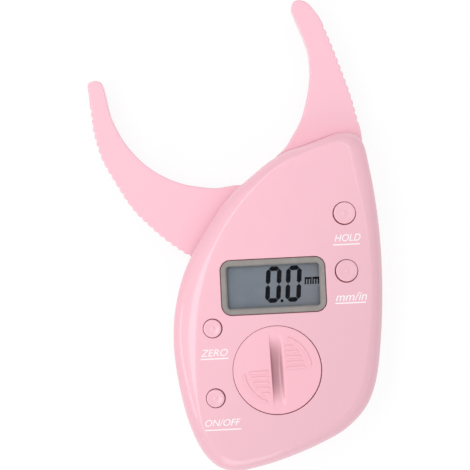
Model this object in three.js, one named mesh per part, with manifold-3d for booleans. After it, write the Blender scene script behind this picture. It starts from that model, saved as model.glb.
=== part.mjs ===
// A digital skinfold caliper with one fixed and one swinging arm, in millimetres.
// It lies on its back: +Z comes out of the face, +Y points to the jaws, +X is right.
// The origin is the jaw's pivot axis at the resting plane.
import * as THREE from 'three';
import { mergeVertices } from 'three/addons/utils/BufferGeometryUtils.js';
import Module from 'manifold-3d';

const wasm = await Module();
wasm.setup();

// Clearances
const fitGap = 0.3;
const turnGap = 0.3;
const restGap = 0.2;
const swingGap = 0.5;
const overrun = 1;

// Body
const bodyWidth = 74;
const bodyLength = 117;
const bodyThickness = 20;
const sideWall = 2.2;
const floorThickness = 2.2;
const faceThickness = 2.4;
const backEdgeRadius = 3;
const bevelHeight = 4.6;
const bevelArc = 65;

// Arms
const jawReach = 77;
const fixedJawReach = 80;
const jawFloorGap = 0.8;
const jawCoverGap = 0.4;
const jawEdgeRadius = 1;
const hubRadius = 17;
const toothPitch = 2.65;
const toothDepth = 0.5;
const jawSwing = 54.6;

// Pivot and its spring
const pinRadius = 3;
const pinHeadRadius = 4.4;
const pinHeadHeight = 1.2;
const pinSocketDepth = 1.4;
const washerThickness = 0.5;
const sleeveRadius = 5.2;
const springPocketRadius = 9.7;
const springRadius = 7.4;
const springWire = 1.1;
const springPitch = 1.6;
const hubRoof = 2.1;
const springLegLength = 1.6;

// Angle sensor
const rotorOuterRadius = 15.6;
const rotorInnerRadius = 10.6;
const rotorThickness = 0.8;
const rotorAngle = 150;
const rotorDirection = -50;
const rotorScrewSpread = 100;
const rotorScrewRadius = 0.8;
const rotorScrewHead = 1.5;
const rotorScrewHeadHeight = 0.6;
const rotorScrewLength = 3.5;

// Display
const bezelLength = 36.3;
const bezelWidth = 19;
const bezelCorner = 3.5;
const bezelThickness = 1.8;
const bezelRecess = 0.2;
const bezelLip = 0.8;
const bezelFrame = 2.1;
const windowThickness = 1;
const windowOverlap = 0.6;
const panelLedge = 1;
const panelThickness = 2;
const displayWellWall = 1;
const displayWellFoot = 2.8;
const stripWidth = 1.8;
const stripInset = 0.8;

// Board
const boardThickness = 1.6;
const boardFaceGap = 3.8;
const boardPartingGap = 1;
const boardWellGap = 1;
const boardScrewRadius = 1;
const boardScrewHead = 1.9;
const boardScrewHeadHeight = 0.8;
const boardScrewLength = 5;
const boardBossRadius = 2.3;
const chipRadius = 4;
const chipHeight = 1.3;
const crystalLength = 6;
const crystalRadius = 1;

// Buttons and the rubber domes under them
const largeCapRadius = 3.8;
const smallCapRadius = 3.15;
const capGap = 0.35;
const capProud = 0.2;
const capEdge = 0.4;
const capDish = 0.25;
const capNub = 0.45;
const flangeWidth = 0.9;
const flangeThickness = 0.4;
const stemRadius = 1.6;
const domeRadius = 3;
const domeCrown = 1.9;
const domeHeight = 1.4;

// Battery compartment and its cover
const cellRadius = 10;
const cellThickness = 3.2;
const cellCollar = 4.3;
const coverRim = 1;
const coverThickness = 2.2;
const displayCoverGap = 4.45;
const skirtWall = 1.4;
const skirtDepth = 3.2;
const wellWall = 2.6;
const wellFloor = 1;
const cellPocketDepth = 0.8;
const lugWidth = 0.9;
const lugThickness = 0.9;
const lugDrop = 2.6;
const lugAngle = 24;
const coverTurn = 60;
const coverRise = 1.6;
const slotLength = 25.5;
const slotWidth = 4;
const slotDepth = 1.5;
const slotTurn = 1.4;
const padRadius = 9.8;
const ribPitch = 1.85;
const ribWidth = 0.9;
const ribHeight = 0.3;
const ribCount = 5;
const sealWire = 1;
const contactThickness = 0.4;
const contactWidth = 5;

// Case screws
const caseScrewRadius = 1.1;
const caseScrewHead = 2.1;
const caseScrewHeadHeight = 1.6;
const caseScrewRecess = 6;
const caseScrewLength = 7.6;
const caseTubeRadius = 3.6;
const caseBossRadius = 2.7;

// How finely curves are stepped
const outlineSteps = 2;
const roundSteps = 36;
const middleSteps = 24;
const smallSteps = 12;
const edgeSteps = 22;
const leadSteps = 5;
const slotSteps = 11;

// The stack of heights, from the face down to the jaw, and from the floor up
const faceInside = bodyThickness - faceThickness;
const boardTopFace = faceInside - boardFaceGap;
const boardHeight = boardTopFace - boardThickness;
const partingHeight = boardHeight - boardPartingGap;
const jawTop = partingHeight - jawCoverGap;
const jawBottom = floorThickness + jawFloorGap;
const bezelBottom = bodyThickness - bezelRecess - bezelThickness;

// The spring fills the hub's pocket with whole turns
const springLow = floorThickness + fitGap + springWire / 2;
const springRoom = jawTop - hubRoof - fitGap - springWire / 2 - springLow;
const springTurns = Math.max(1, Math.round(springRoom / springPitch));
const springHigh = springLow + springRoom;
const hubPocketTop = springHigh + springWire / 2 + fitGap;

// The battery cover's radii, from the cell outwards
const skirtRadius = cellRadius + cellCollar;
const coverRadius = skirtRadius + coverRim;

// The body seen from the front: the outer edge, then the soft crease where the face begins,
// each as shares of the body's width and length
const bodyOutlineShares = [
  [0.072, 0.238, 0.095, 0.222], [0.149, 0.262, 0.162, 0.239], [0.245, 0.274, 0.246, 0.247],
  [0.341, 0.276, 0.322, 0.244], [0.411, 0.267, 0.365, 0.231], [0.446, 0.239, 0.384, 0.207],
  [0.466, 0.167, 0.401, 0.15], [0.491, 0.047, 0.435, 0.043], [0.503, -0.085, 0.447, -0.085],
  [0.499, -0.222, 0.446, -0.222], [0.482, -0.35, 0.426, -0.35], [0.449, -0.474, 0.384, -0.465],
  [0.399, -0.547, 0.324, -0.526], [0.3, -0.61, 0.232, -0.574], [0.169, -0.653, 0.119, -0.612],
  [0, -0.692, -0.027, -0.644], [-0.128, -0.713, -0.132, -0.66], [-0.223, -0.721, -0.211, -0.663],
  [-0.304, -0.709, -0.273, -0.646], [-0.372, -0.668, -0.316, -0.612], [-0.431, -0.589, -0.354, -0.556],
  [-0.472, -0.483, -0.381, -0.474], [-0.495, -0.342, -0.392, -0.342], [-0.478, -0.226, -0.378, -0.222],
  [-0.427, -0.12, -0.339, -0.11], [-0.342, -0.024, -0.269, -0.019], [-0.211, 0.089, -0.159, 0.082],
  [-0.074, 0.168, -0.042, 0.162],
];

// The arms as shares of their reach from the pivot, each edge from its tip to its root
const jawOuterShares = [
  [-0.811, 0.694], [-0.81, 0.64], [-0.806, 0.57], [-0.799, 0.483], [-0.784, 0.409], [-0.761, 0.335],
  [-0.723, 0.26], [-0.634, 0.109], [-0.565, 0.032], [-0.482, -0.045], [-0.381, -0.117],
  [-0.266, -0.164], [-0.13, -0.156],
];
const jawInnerShares = [
  [-0.775, 0.706], [-0.752, 0.696], [-0.74, 0.664], [-0.732, 0.626], [-0.718, 0.552], [-0.69, 0.478],
  [-0.648, 0.403], [-0.583, 0.326], [-0.53, 0.282], [-0.467, 0.244], [-0.396, 0.215], [-0.323, 0.199],
  [-0.251, 0.19], [-0.14, 0.199], [-0.039, 0.175],
];
const fixedOuterShares = [
  [0.164, 0.991], [0.199, 0.977], [0.226, 0.945], [0.25, 0.909], [0.28, 0.836], [0.33, 0.692],
  [0.374, 0.55], [0.39, 0.479], [0.405, 0.407], [0.406, 0.35], [0.4, 0.27],
];
const fixedInnerShares = [
  [0.14, 0.984], [0.127, 0.954], [0.139, 0.914], [0.166, 0.842], [0.189, 0.77], [0.195, 0.71],
  [0.195, 0.665], [0.185, 0.595], [0.167, 0.525], [0.142, 0.455], [0.1, 0.388], [0.07, 0.347],
  [0.125, 0.27],
];
// Where the teeth run along each outer edge, as shares of the edge's length
const jawTeethShares = [0.09, 0.83];
const fixedTeethShares = [0.2, 0.8];

// Places in the body, as shares of its width and length
const displayPlaceShare = [-0.0135, -0.175];
const zeroButtonShare = [-0.307, -0.292];
const powerButtonShare = [-0.308, -0.499];
// Places beside the display, as shares of the way from the bezel to the body's side and of its length
const holdButtonShare = [0.385, 0.03];
const unitButtonShare = [0.374, -0.141];
const crystalShare = [0.422, -0.235];
const boardScrewShares = [[-0.332, -0.111], [0.372, -0.056], [-0.345, -0.397], [0.169, 0.03]];
const caseScrewShares = [
  [0.358, 0.209], [0.408, -0.333], [-0.304, -0.615], [0.264, -0.568], [-0.399, -0.188],
];
// The board's first corner, right of the battery well: a share of the body's width, and how far up
// the well's round cutout it stands, as a share of that cutout's radius
const boardShoulderShares = [0.369, 0.861];
// The board's edge from there round to its lower left corner
const boardEdgeShares = [
  [0.409, -0.222], [0.409, 0.068], [-0.123, 0.068], [-0.205, 0.02], [-0.355, -0.103],
  [-0.332, -0.137], [-0.332, -0.232], [-0.378, -0.253], [-0.378, -0.543],
];
const chipShare = [0.08, -0.175];

// Rounded profiles, as shares of the radius and height of the piece
const chipProfileShares = [[0, 0], [1, 0], [0.92, 0.45], [0.6, 0.9], [0, 1]];
const cellProfileShares = [[0, 0], [0.88, 0], [0.9, 0.12], [1, 0.17], [1, 1], [0, 1]];

// Materials
function surface(color, roughness, metalness = 0) {
  return new THREE.MeshStandardMaterial({ color, roughness, metalness });
}
const looks = {
  shell: () => surface('#f6c5d1', 0.42),
  arm: () => surface('#fcc6d3', 0.42),
  bezel: () => surface('#96938f', 0.5),
  window: () => new THREE.MeshStandardMaterial({
    color: '#a9b2b8', roughness: 0.08, metalness: 0, transparent: true, opacity: 0.35,
  }),
  panel: () => surface('#7a7f86', 0.3),
  steel: () => surface('#b8babd', 0.3, 1),
  spring: () => surface('#8d9094', 0.35, 1),
  slippery: () => surface('#f2f2ee', 0.5),
  board: () => surface('#2f6b45', 0.55),
  resin: () => surface('#17181a', 0.45),
  rubber: () => surface('#6f7276', 0.8),
  gold: () => surface('#c9a24b', 0.35, 1),
  seal: () => surface('#2b2b2d', 0.85),
};

// Closed solids
function solid(geometry) {
  const bare = geometry.index ? geometry.toNonIndexed() : geometry.clone();
  bare.deleteAttribute('normal');
  bare.deleteAttribute('uv');
  const merged = mergeVertices(bare);
  const corners = [];
  for (let first = 0; first < merged.index.count; first += 3) {
    const triangle = [0, 1, 2].map((corner) => merged.index.getX(first + corner));
    if (new Set(triangle).size === 3) {
      corners.push(...triangle);
    }
  }
  return new wasm.Manifold(new wasm.Mesh({
    numProp: 3,
    vertProperties: new Float32Array(merged.attributes.position.array),
    triVerts: new Uint32Array(corners),
  }));
}

function geometryOf(body) {
  const mesh = body.getMesh();
  const geometry = new THREE.BufferGeometry();
  geometry.setAttribute('position', new THREE.BufferAttribute(mesh.vertProperties, mesh.numProp));
  geometry.setIndex(new THREE.BufferAttribute(mesh.triVerts, 1));
  geometry.computeVertexNormals();
  return geometry;
}

const caliper = new THREE.Group();
caliper.name = 'skinfold_caliper';

function piece(name, body, material, parent = caliper) {
  const mesh = new THREE.Mesh(geometryOf(body), material);
  mesh.name = name;
  parent.add(mesh);
  return mesh;
}

// A group at a place in the body, given as shares, or at x, y and z
function seat(x, y, z = 0, parent = caliper) {
  const group = new THREE.Group();
  group.position.set(x, y, z);
  parent.add(group);
  return group;
}
const inBody = ([x, y]) => [x * bodyWidth, y * bodyLength];
const bezelSide = displayPlaceShare[0] * bodyWidth + bezelLength / 2;
const besideDisplay = ([x, y]) => [bezelSide + (bodyWidth / 2 - bezelSide) * x, y * bodyLength];
const scaled = (shares, radius, height) => shares.map(([r, z]) => [r * radius, z * height]);

// A turned solid about Z, from its radii and heights in order up the outside
function turned(profile, steps = roundSteps) {
  const points = profile.map(([radius, height]) => new THREE.Vector2(radius, height));
  return solid(new THREE.LatheGeometry(points, steps).rotateX(Math.PI / 2));
}

function disc(radius, bottom, top, steps = roundSteps) {
  return turned([[0, bottom], [radius, bottom], [radius, top], [0, top]], steps);
}

function ring(inner, outer, bottom, top, steps = roundSteps) {
  return turned([[inner, bottom], [outer, bottom], [outer, top], [inner, top], [inner, bottom]], steps);
}

// A flat shape drawn up from one height to another, with an optional rounded edge
function prism(points, bottom, top, edge = 0) {
  const geometry = new THREE.ExtrudeGeometry(new THREE.Shape(points), {
    depth: top - bottom - edge - edge,
    bevelEnabled: edge > 0,
    bevelThickness: edge,
    bevelSize: edge,
    bevelOffset: -edge,
    bevelSegments: 2,
    curveSegments: smallSteps / 4,
  });
  return solid(geometry.translate(0, 0, bottom + edge));
}

function roundedRectangle(length, width, corner) {
  const right = length / 2;
  const top = width / 2;
  const shape = new THREE.Shape();
  shape.moveTo(corner - right, -top);
  shape.absarc(right - corner, corner - top, corner, -Math.PI / 2, 0);
  shape.absarc(right - corner, top - corner, corner, 0, Math.PI / 2);
  shape.absarc(corner - right, top - corner, corner, Math.PI / 2, Math.PI);
  shape.absarc(corner - right, corner - top, corner, Math.PI, Math.PI * 3 / 2);
  return shape.getPoints(smallSteps / 4);
}

// A skin over rings of points, all rings with as many points, each end closed by its triangles
function skin(rings, firstCap, lastCap) {
  const count = rings[0].length;
  const position = rings.flat().flatMap((point) => [point.x, point.y, point.z]);
  const index = [];
  for (let level = 1; level < rings.length; level += 1) {
    for (let step = 0; step < count; step += 1) {
      const next = (step + 1) % count;
      const low = (level - 1) * count;
      const high = level * count;
      index.push(low + step, low + next, high + next, low + step, high + next, high + step);
    }
  }
  const last = (rings.length - 1) * count;
  firstCap.forEach(([a, b, c]) => index.push(a, c, b));
  lastCap.forEach(([a, b, c]) => index.push(last + a, last + b, last + c));
  const geometry = new THREE.BufferGeometry();
  geometry.setAttribute('position', new THREE.Float32BufferAttribute(position, 3));
  geometry.setIndex(index);
  return solid(geometry);
}

// A skin over level rings, from the lowest up
function loft(rings) {
  const caps = [rings[0], rings[rings.length - 1]].map((ring) => (
    THREE.ShapeUtils.triangulateShape(ring, [])
  ));
  return skin(rings, ...caps);
}

// The triangles that close a ring with no hollow in it
function fan(count) {
  return Array.from({ length: count - 2 }, (_, step) => [0, step + 1, step + 2]);
}

// An outline moved to its left by a distance, corner by corner
function moved(outline, distance) {
  return outline.map((point, index) => {
    const before = outline[(index + outline.length - 1) % outline.length];
    const after = outline[(index + 1) % outline.length];
    const into = new THREE.Vector2(point.x - before.x, point.y - before.y).normalize();
    const out = new THREE.Vector2(after.x - point.x, after.y - point.y).normalize();
    const along = into.clone().add(out).normalize();
    const reach = distance / along.dot(out);
    return new THREE.Vector2(point.x - along.y * reach, point.y + along.x * reach);
  });
}

const atHeight = (outline, z) => outline.map((point) => new THREE.Vector3(point.x, point.y, z));

function join(bodies) {
  return bodies.reduce((whole, body) => whole.add(body));
}

function cut(body, tools) {
  return tools.reduce((left, tool) => left.subtract(tool), body);
}

// A round tube along a list of points, its sections carried round without twist
function tube(points, radius, sides) {
  let normal = new THREE.Vector3(0, 1, 0);
  const rings = points.map((point, station) => {
    const before = points[Math.max(station - 1, 0)];
    const after = points[Math.min(station + 1, points.length - 1)];
    const along = after.clone().sub(before).normalize();
    normal = normal.clone().addScaledVector(along, -normal.dot(along)).normalize();
    const side = along.clone().cross(normal);
    return Array.from({ length: sides }, (_, step) => {
      const angle = step * Math.PI * 2 / sides;
      return point.clone()
        .addScaledVector(normal, radius * Math.cos(angle))
        .addScaledVector(side, radius * Math.sin(angle));
    });
  });
  return skin(rings, fan(sides), fan(sides));
}

// Body outlines: the outer edge and the crease run side by side, point for point
function bodyOutline(column) {
  const points = bodyOutlineShares.map((row) => new THREE.Vector3(
    row[column] * bodyWidth, row[column + 1] * bodyLength, 0,
  ));
  const curve = new THREE.CatmullRomCurve3(points, true, 'centripetal');
  const count = points.length * outlineSteps;
  return Array.from({ length: count }, (_, step) => {
    const point = curve.getPoint(1 - step / count);
    return new THREE.Vector2(point.x, point.y);
  });
}
const bodyEdge = bodyOutline(0);
const faceEdge = bodyOutline(2);

function between(share) {
  return bodyEdge.map((point, index) => point.clone().lerp(faceEdge[index], share));
}

// Arm outlines
function armEdge(shares, reach) {
  const points = shares.map(([x, y]) => new THREE.Vector3(x * reach, y * reach, 0));
  return new THREE.CatmullRomCurve3(points, false, 'centripetal');
}

function flat(point) {
  return new THREE.Vector2(point.x, point.y);
}

// An arm's outer edge from its tip down, with teeth along its middle stretch: each is a ridge
// on the edge and a valley cut in from it, towards the side given by turn
function toothed(edge, [first, last], turn) {
  const length = edge.getLength();
  const count = Math.floor((last - first) * length / toothPitch);
  const end = first + count * toothPitch / length;
  const points = [];
  for (let step = 0; step <= leadSteps; step += 1) {
    points.push(flat(edge.getPointAt(first * step / leadSteps)));
  }
  for (let half = 1; half <= count + count; half += 1) {
    const share = first + half * toothPitch / (length + length);
    const along = edge.getTangentAt(share);
    const depth = half % 2 === 1 ? toothDepth : 0;
    const into = new THREE.Vector2(-along.y, along.x).multiplyScalar(depth * turn);
    points.push(flat(edge.getPointAt(share)).add(into));
  }
  for (let step = 1; step <= leadSteps; step += 1) {
    points.push(flat(edge.getPointAt(end + (1 - end) * step / leadSteps)));
  }
  return points;
}

function smooth(edge) {
  return edge.getSpacedPoints(edgeSteps).map(flat);
}

const jawOuter = armEdge(jawOuterShares, jawReach);
const jawInner = armEdge(jawInnerShares, jawReach);
const fixedOuter = armEdge(fixedOuterShares, fixedJawReach);
const fixedInner = armEdge(fixedInnerShares, fixedJawReach);
const jawPoints = [...smooth(jawInner).reverse(), ...toothed(jawOuter, jawTeethShares, 1)];
const fixedPoints = [...toothed(fixedOuter, fixedTeethShares, -1).reverse(), ...smooth(fixedInner)];

// The way the arm and hub need through the rear housing, from open to closed
function swept() {
  const wide = moved([...smooth(jawInner).reverse(), ...smooth(jawOuter)], -swingGap);
  const arm = prism(wide, jawBottom - jawFloorGap / 2, partingHeight + overrun);
  const copies = [0, 1, 2].map((step) => arm.rotate([0, 0, -jawSwing * step / 2]));
  const hub = disc(hubRadius + swingGap, jawBottom - jawFloorGap / 2, partingHeight + overrun);
  return join([...copies, hub]);
}

// Screws
function screw(shaft, length, head, headHeight) {
  return turned([
    [0, -length], [shaft, -length], [shaft, 0], [head, 0], [head, headHeight], [0, headHeight],
  ], smallSteps);
}

// Rear housing, in one moulding with the fixed jaw
const roundIn = (angle) => backEdgeRadius * (1 - Math.sin(angle));
const roundUp = (angle) => backEdgeRadius * (1 - Math.cos(angle));
const rearOutside = loft([
  ...[0, Math.PI / 6, Math.PI / 3].map((angle) => atHeight(moved(bodyEdge, roundIn(angle)), roundUp(angle))),
  atHeight(bodyEdge, backEdgeRadius),
  atHeight(bodyEdge, partingHeight),
]);
const rearInside = loft([
  atHeight(moved(bodyEdge, sideWall + floorThickness / 2), floorThickness),
  atHeight(moved(bodyEdge, sideWall), floorThickness + floorThickness / 2),
  atHeight(moved(bodyEdge, sideWall), partingHeight + overrun),
]);
const casePlaces = caseScrewShares.map(inBody);
const rearTubes = casePlaces.map(([x, y]) => (
  disc(caseTubeRadius, floorThickness / 2, partingHeight, smallSteps).translate([x, y, 0])
));
const rearHoles = casePlaces.flatMap(([x, y]) => [
  disc(caseScrewHead + fitGap, -overrun, caseScrewRecess, smallSteps).translate([x, y, 0]),
  disc(caseScrewRadius + fitGap, 0, partingHeight + overrun, smallSteps).translate([x, y, 0]),
]);
const fixedJaw = prism(fixedPoints, jawBottom, partingHeight, jawEdgeRadius);
const rearBody = cut(rearOutside, [rearInside]).add(join(rearTubes)).add(fixedJaw);
const pinSocket = disc(pinRadius + fitGap, floorThickness - pinSocketDepth, floorThickness + overrun);
const springSocketPlace = [springRadius, 0, 0];
const springSocket = disc(
  springWire / 2 + fitGap, floorThickness - pinSocketDepth, floorThickness + overrun, smallSteps,
).translate(springSocketPlace);
piece('rear_housing', cut(rearBody, [swept(), pinSocket, springSocket, ...rearHoles]), looks.shell());

// Moving jaw: the arm and the hub that the pin, spring and sensor strip sit in
const hub = disc(hubRadius, jawBottom, jawTop);
const arm = prism(jawPoints, jawBottom, jawTop, jawEdgeRadius);
const headPocketRadius = pinHeadRadius + turnGap + turnGap;
const headPocketFloor = jawTop - washerThickness - turnGap - pinHeadHeight + restGap;
const rotorFloor = jawTop - rotorThickness;
const legHoleTop = hubPocketTop + springLegLength;
const jawCuts = [
  disc(pinRadius + turnGap, jawBottom - overrun, jawTop + overrun),
  disc(headPocketRadius, headPocketFloor, jawTop + overrun),
  ring(sleeveRadius, springPocketRadius, jawBottom - overrun, hubPocketTop),
  disc(springWire / 2 + fitGap, hubPocketTop - overrun, legHoleTop, smallSteps)
    .translate(springSocketPlace),
];
function sector(inner, outer, angle, gap) {
  const half = angle * Math.PI / 360;
  const shape = new THREE.Shape();
  shape.absarc(0, 0, outer + gap, -half - gap / outer, half + gap / outer);
  shape.absarc(0, 0, inner - gap, half + gap / outer, -half - gap / outer, true);
  return shape.getPoints(smallSteps / 2);
}
const rotorShape = sector(rotorInnerRadius, rotorOuterRadius, rotorAngle, 0);
const rotorPocket = prism(
  sector(rotorInnerRadius, rotorOuterRadius, rotorAngle, fitGap), rotorFloor, jawTop + overrun,
).rotate([0, 0, rotorDirection]);
const rotorMiddle = (rotorInnerRadius + rotorOuterRadius) / 2;
const rotorScrewPlaces = [-1, 1].map((side) => {
  const angle = (rotorDirection + side * rotorScrewSpread / 2) * Math.PI / 180;
  return [rotorMiddle * Math.cos(angle), rotorMiddle * Math.sin(angle)];
});
const rotorScrewHoles = rotorScrewPlaces.map(([x, y]) => disc(
  rotorScrewRadius + fitGap, jawTop - rotorScrewLength - fitGap, jawTop + overrun, smallSteps,
).translate([x, y, 0]));
const jawBody = cut(hub.add(arm), [...jawCuts, rotorPocket, ...rotorScrewHoles]);
piece('moving_jaw', jawBody, looks.arm());

const rotorPlate = cut(
  prism(rotorShape, rotorFloor, jawTop).rotate([0, 0, rotorDirection]), rotorScrewHoles,
);
piece('sensor_rotor', rotorPlate, looks.gold());
rotorScrewPlaces.forEach(([x, y], index) => {
  const body = screw(rotorScrewRadius, rotorScrewLength, rotorScrewHead, rotorScrewHeadHeight);
  piece(`rotor_screw_${index + 1}`, body, looks.steel(), seat(x, y, jawTop));
});

// Pivot pin, washers and return spring
const headBottom = headPocketFloor + turnGap + washerThickness;
piece('pivot_pin', turned([
  [0, floorThickness - pinSocketDepth], [pinRadius, floorThickness - pinSocketDepth],
  [pinRadius, headBottom], [pinHeadRadius, headBottom],
  [pinHeadRadius, headBottom + pinHeadHeight], [0, headBottom + pinHeadHeight],
]), looks.steel());
const washer = ring(pinRadius + fitGap, pinHeadRadius, 0, washerThickness, middleSteps);
piece('lower_washer', washer, looks.slippery(), seat(0, 0, floorThickness));
piece('upper_washer', washer, looks.slippery(), seat(0, 0, headPocketFloor + turnGap));

// The spring's wire: a straight leg down, the turns, and a straight leg up
function springPath() {
  const turnSteps = 12;
  const points = [
    new THREE.Vector3(springRadius, 0, floorThickness - pinSocketDepth + restGap),
    new THREE.Vector3(springRadius, 0, springLow - springWire),
  ];
  for (let step = 0; step <= springTurns * turnSteps; step += 1) {
    const angle = step * Math.PI * 2 / turnSteps;
    const height = springLow + springRoom * step / (springTurns * turnSteps);
    points.push(new THREE.Vector3(springRadius * Math.cos(angle), springRadius * Math.sin(angle), height));
  }
  points.push(new THREE.Vector3(springRadius, 0, springHigh + springWire));
  points.push(new THREE.Vector3(springRadius, 0, legHoleTop - restGap));
  return points;
}
const springPoints = springPath();
piece('return_spring', tube(springPoints, springWire / 2, 6), looks.spring());
const springGaps = springPoints.flatMap((point, index) => (
  springPoints.slice(index + springTurns * 2).map((other) => point.distanceTo(other) - springWire)
));
console.log(`return_spring: least gap between turns ${Math.min(...springGaps).toFixed(2)} mm`);

// Display: a grey frame with a clear window under its lip, and the panel below
const [displayOpening, displayOpeningWidth] = [bezelLength - bezelFrame * 2, bezelWidth - bezelFrame * 2];
const openingCorner = bezelCorner - bezelFrame;
const windowSize = [displayOpening + windowOverlap * 2, displayOpeningWidth + windowOverlap * 2];
const panelSize = [
  bezelLength - (panelLedge - fitGap) * 2 - fitGap * 2, bezelWidth - (panelLedge - fitGap) * 2 - fitGap * 2,
];
const display = seat(...inBody(displayPlaceShare));
function framed([length, width], extra, bottom, top, corner = openingCorner) {
  return prism(roundedRectangle(length + extra * 2, width + extra * 2, corner + extra), bottom, top);
}
const bezelTop = bezelBottom + bezelThickness;
const windowTop = bezelTop - bezelLip;
piece('display_bezel', cut(framed([bezelLength, bezelWidth], 0, bezelBottom, bezelTop, bezelCorner), [
  framed([displayOpening, displayOpeningWidth], 0, bezelBottom - overrun, bezelTop + overrun),
  framed(windowSize, fitGap, bezelBottom - overrun, windowTop),
]), looks.bezel(), display);
const pane = framed(windowSize, 0, windowTop - windowThickness, windowTop);
piece('display_window', pane, looks.window(), display);
const panelTop = Math.min(bezelBottom, windowTop - windowThickness) - fitGap;
const panelBottom = panelTop - panelThickness;
piece('lcd_panel', framed(panelSize, 0, panelBottom, panelTop), looks.panel(), display);
const stripLength = displayOpening;
const strip = new THREE.BoxGeometry(stripLength, stripWidth, panelBottom - boardTopFace);
['upper', 'lower'].forEach((end, index) => {
  const side = index === 0 ? 1 : -1;
  const reach = panelSize[1] / 2 - stripInset - stripWidth / 2;
  const middle = (panelBottom + boardTopFace) / 2;
  piece(`connector_strip_${end}`, solid(strip), looks.rubber(), seat(0, side * reach, middle, display));
});

// Board, with the chip and the crystal
const boardPlaces = boardScrewShares.map(inBody);
const [displayX, displayY] = inBody(displayPlaceShare);
const wellPlace = [displayX, displayY - bezelWidth / 2 - displayCoverGap - coverRadius];
const wellOuter = skirtRadius + fitGap + wellWall;
function boardOutline() {
  const cutRadius = wellOuter + boardWellGap;
  const edge = boardEdgeShares.map(inBody);
  const [shoulderWidth, shoulderRise] = boardShoulderShares;
  const [x, y] = wellPlace;
  const shape = new THREE.Shape();
  shape.moveTo(...edge[edge.length - 1]);
  shape.lineTo(x - cutRadius, edge[edge.length - 1][1]);
  shape.absarc(x, y, cutRadius, Math.PI, Math.asin(shoulderRise), true);
  shape.lineTo(shoulderWidth * bodyWidth, y + shoulderRise * cutRadius);
  edge.slice(0, -1).forEach((corner) => shape.lineTo(...corner));
  return shape.getPoints(smallSteps);
}
const boardHoles = boardPlaces.map(([x, y]) => disc(
  boardScrewRadius + fitGap, boardHeight - overrun, boardTopFace + overrun, smallSteps,
).translate([x, y, 0]));
piece('main_board', cut(prism(boardOutline(), boardHeight, boardTopFace), boardHoles), looks.board());
boardPlaces.forEach(([x, y], index) => {
  const body = screw(boardScrewRadius, boardScrewLength, boardScrewHead, boardScrewHeadHeight);
  const place = seat(x, y, boardHeight);
  place.rotation.x = Math.PI;
  piece(`board_screw_${index + 1}`, body, looks.steel(), place);
});
const chip = turned(scaled(chipProfileShares, chipRadius, chipHeight), middleSteps);
piece('controller_chip', chip, looks.resin(), seat(...inBody(chipShare), boardTopFace));
const crystalSeat = seat(...besideDisplay(crystalShare), boardTopFace + crystalRadius);
crystalSeat.rotation.y = Math.PI / 2;
piece('crystal_can', disc(crystalRadius, -crystalLength / 2, crystalLength / 2, smallSteps),
  looks.steel(), crystalSeat);

// Buttons: a dished cap with a small nub, a flange under the face and a stem over a rubber dome
const domeTop = boardTopFace + domeHeight;
const stemFoot = domeTop + restGap;
const flangeTop = faceInside - fitGap;
const capTop = bodyThickness + capProud;
const dome = turned([
  [0, 0], [domeRadius, 0], [domeRadius, domeHeight / 4], [domeCrown, domeHeight], [0, domeHeight],
], smallSteps);
const buttons = [
  ['hold', besideDisplay(holdButtonShare), largeCapRadius],
  ['unit', besideDisplay(unitButtonShare), largeCapRadius],
  ['zero', inBody(zeroButtonShare), smallCapRadius],
  ['power', inBody(powerButtonShare), smallCapRadius],
];
buttons.forEach(([name, spot, radius]) => {
  const place = seat(...spot);
  piece(`${name}_button`, turned([
    [0, stemFoot], [stemRadius, stemFoot], [stemRadius, flangeTop - flangeThickness],
    [radius + flangeWidth, flangeTop - flangeThickness], [radius + flangeWidth, flangeTop],
    [radius, flangeTop], [radius, capTop - capEdge], [radius - capEdge / 2, capTop],
    [radius - capEdge, capTop], [capNub, capTop - capDish], [capNub / 2, capTop], [0, capTop],
  ], middleSteps), looks.shell(), place);
  piece(`${name}_switch`, dome, looks.rubber(), seat(...spot, boardTopFace));
});

// Battery cover: a disc with a skirt, two lugs in rising grooves, a coin slot and ribbed pads
const battery = seat(...wellPlace);
const coverBottom = bodyThickness - coverThickness;
const skirtBottom = coverBottom - skirtDepth;
const lugTop = coverBottom - lugDrop + lugThickness;

// A block bent round the axis between two angles, rising steadily
function bentBlock(inner, outer, bottom, top, fromAngle, toAngle, rise, steps) {
  const rings = Array.from({ length: steps + 1 }, (_, step) => {
    const angle = (fromAngle + (toAngle - fromAngle) * step / steps) * Math.PI / 180;
    const lift = rise * step / steps;
    return [[inner, bottom], [outer, bottom], [outer, top], [inner, top]].map(([radius, height]) => (
      new THREE.Vector3(radius * Math.cos(angle), radius * Math.sin(angle), height + lift)
    ));
  });
  return skin(rings.reverse(), fan(4), fan(4));
}
const slope = coverRise / coverTurn;
const lug = bentBlock(
  skirtRadius - skirtWall / 2, skirtRadius + lugWidth, lugTop - lugThickness, lugTop,
  -lugAngle / 2, lugAngle / 2, slope * lugAngle, 4,
);
const grooveSpare = fitGap / skirtRadius * 180 / Math.PI;
const grooveStart = -lugAngle / 2 - grooveSpare;
const grooveEnd = lugAngle / 2 + coverTurn + grooveSpare;
const groove = bentBlock(
  skirtRadius - skirtWall / 2, skirtRadius + lugWidth + fitGap,
  lugTop - lugThickness - fitGap - slope * grooveSpare, lugTop + fitGap - slope * grooveSpare,
  grooveStart, grooveEnd, slope * (grooveEnd - grooveStart), roundSteps / 3,
);
const slotArc = (slotLength * slotLength / 4 + slotDepth * slotDepth) / (slotDepth * 2);
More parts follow.
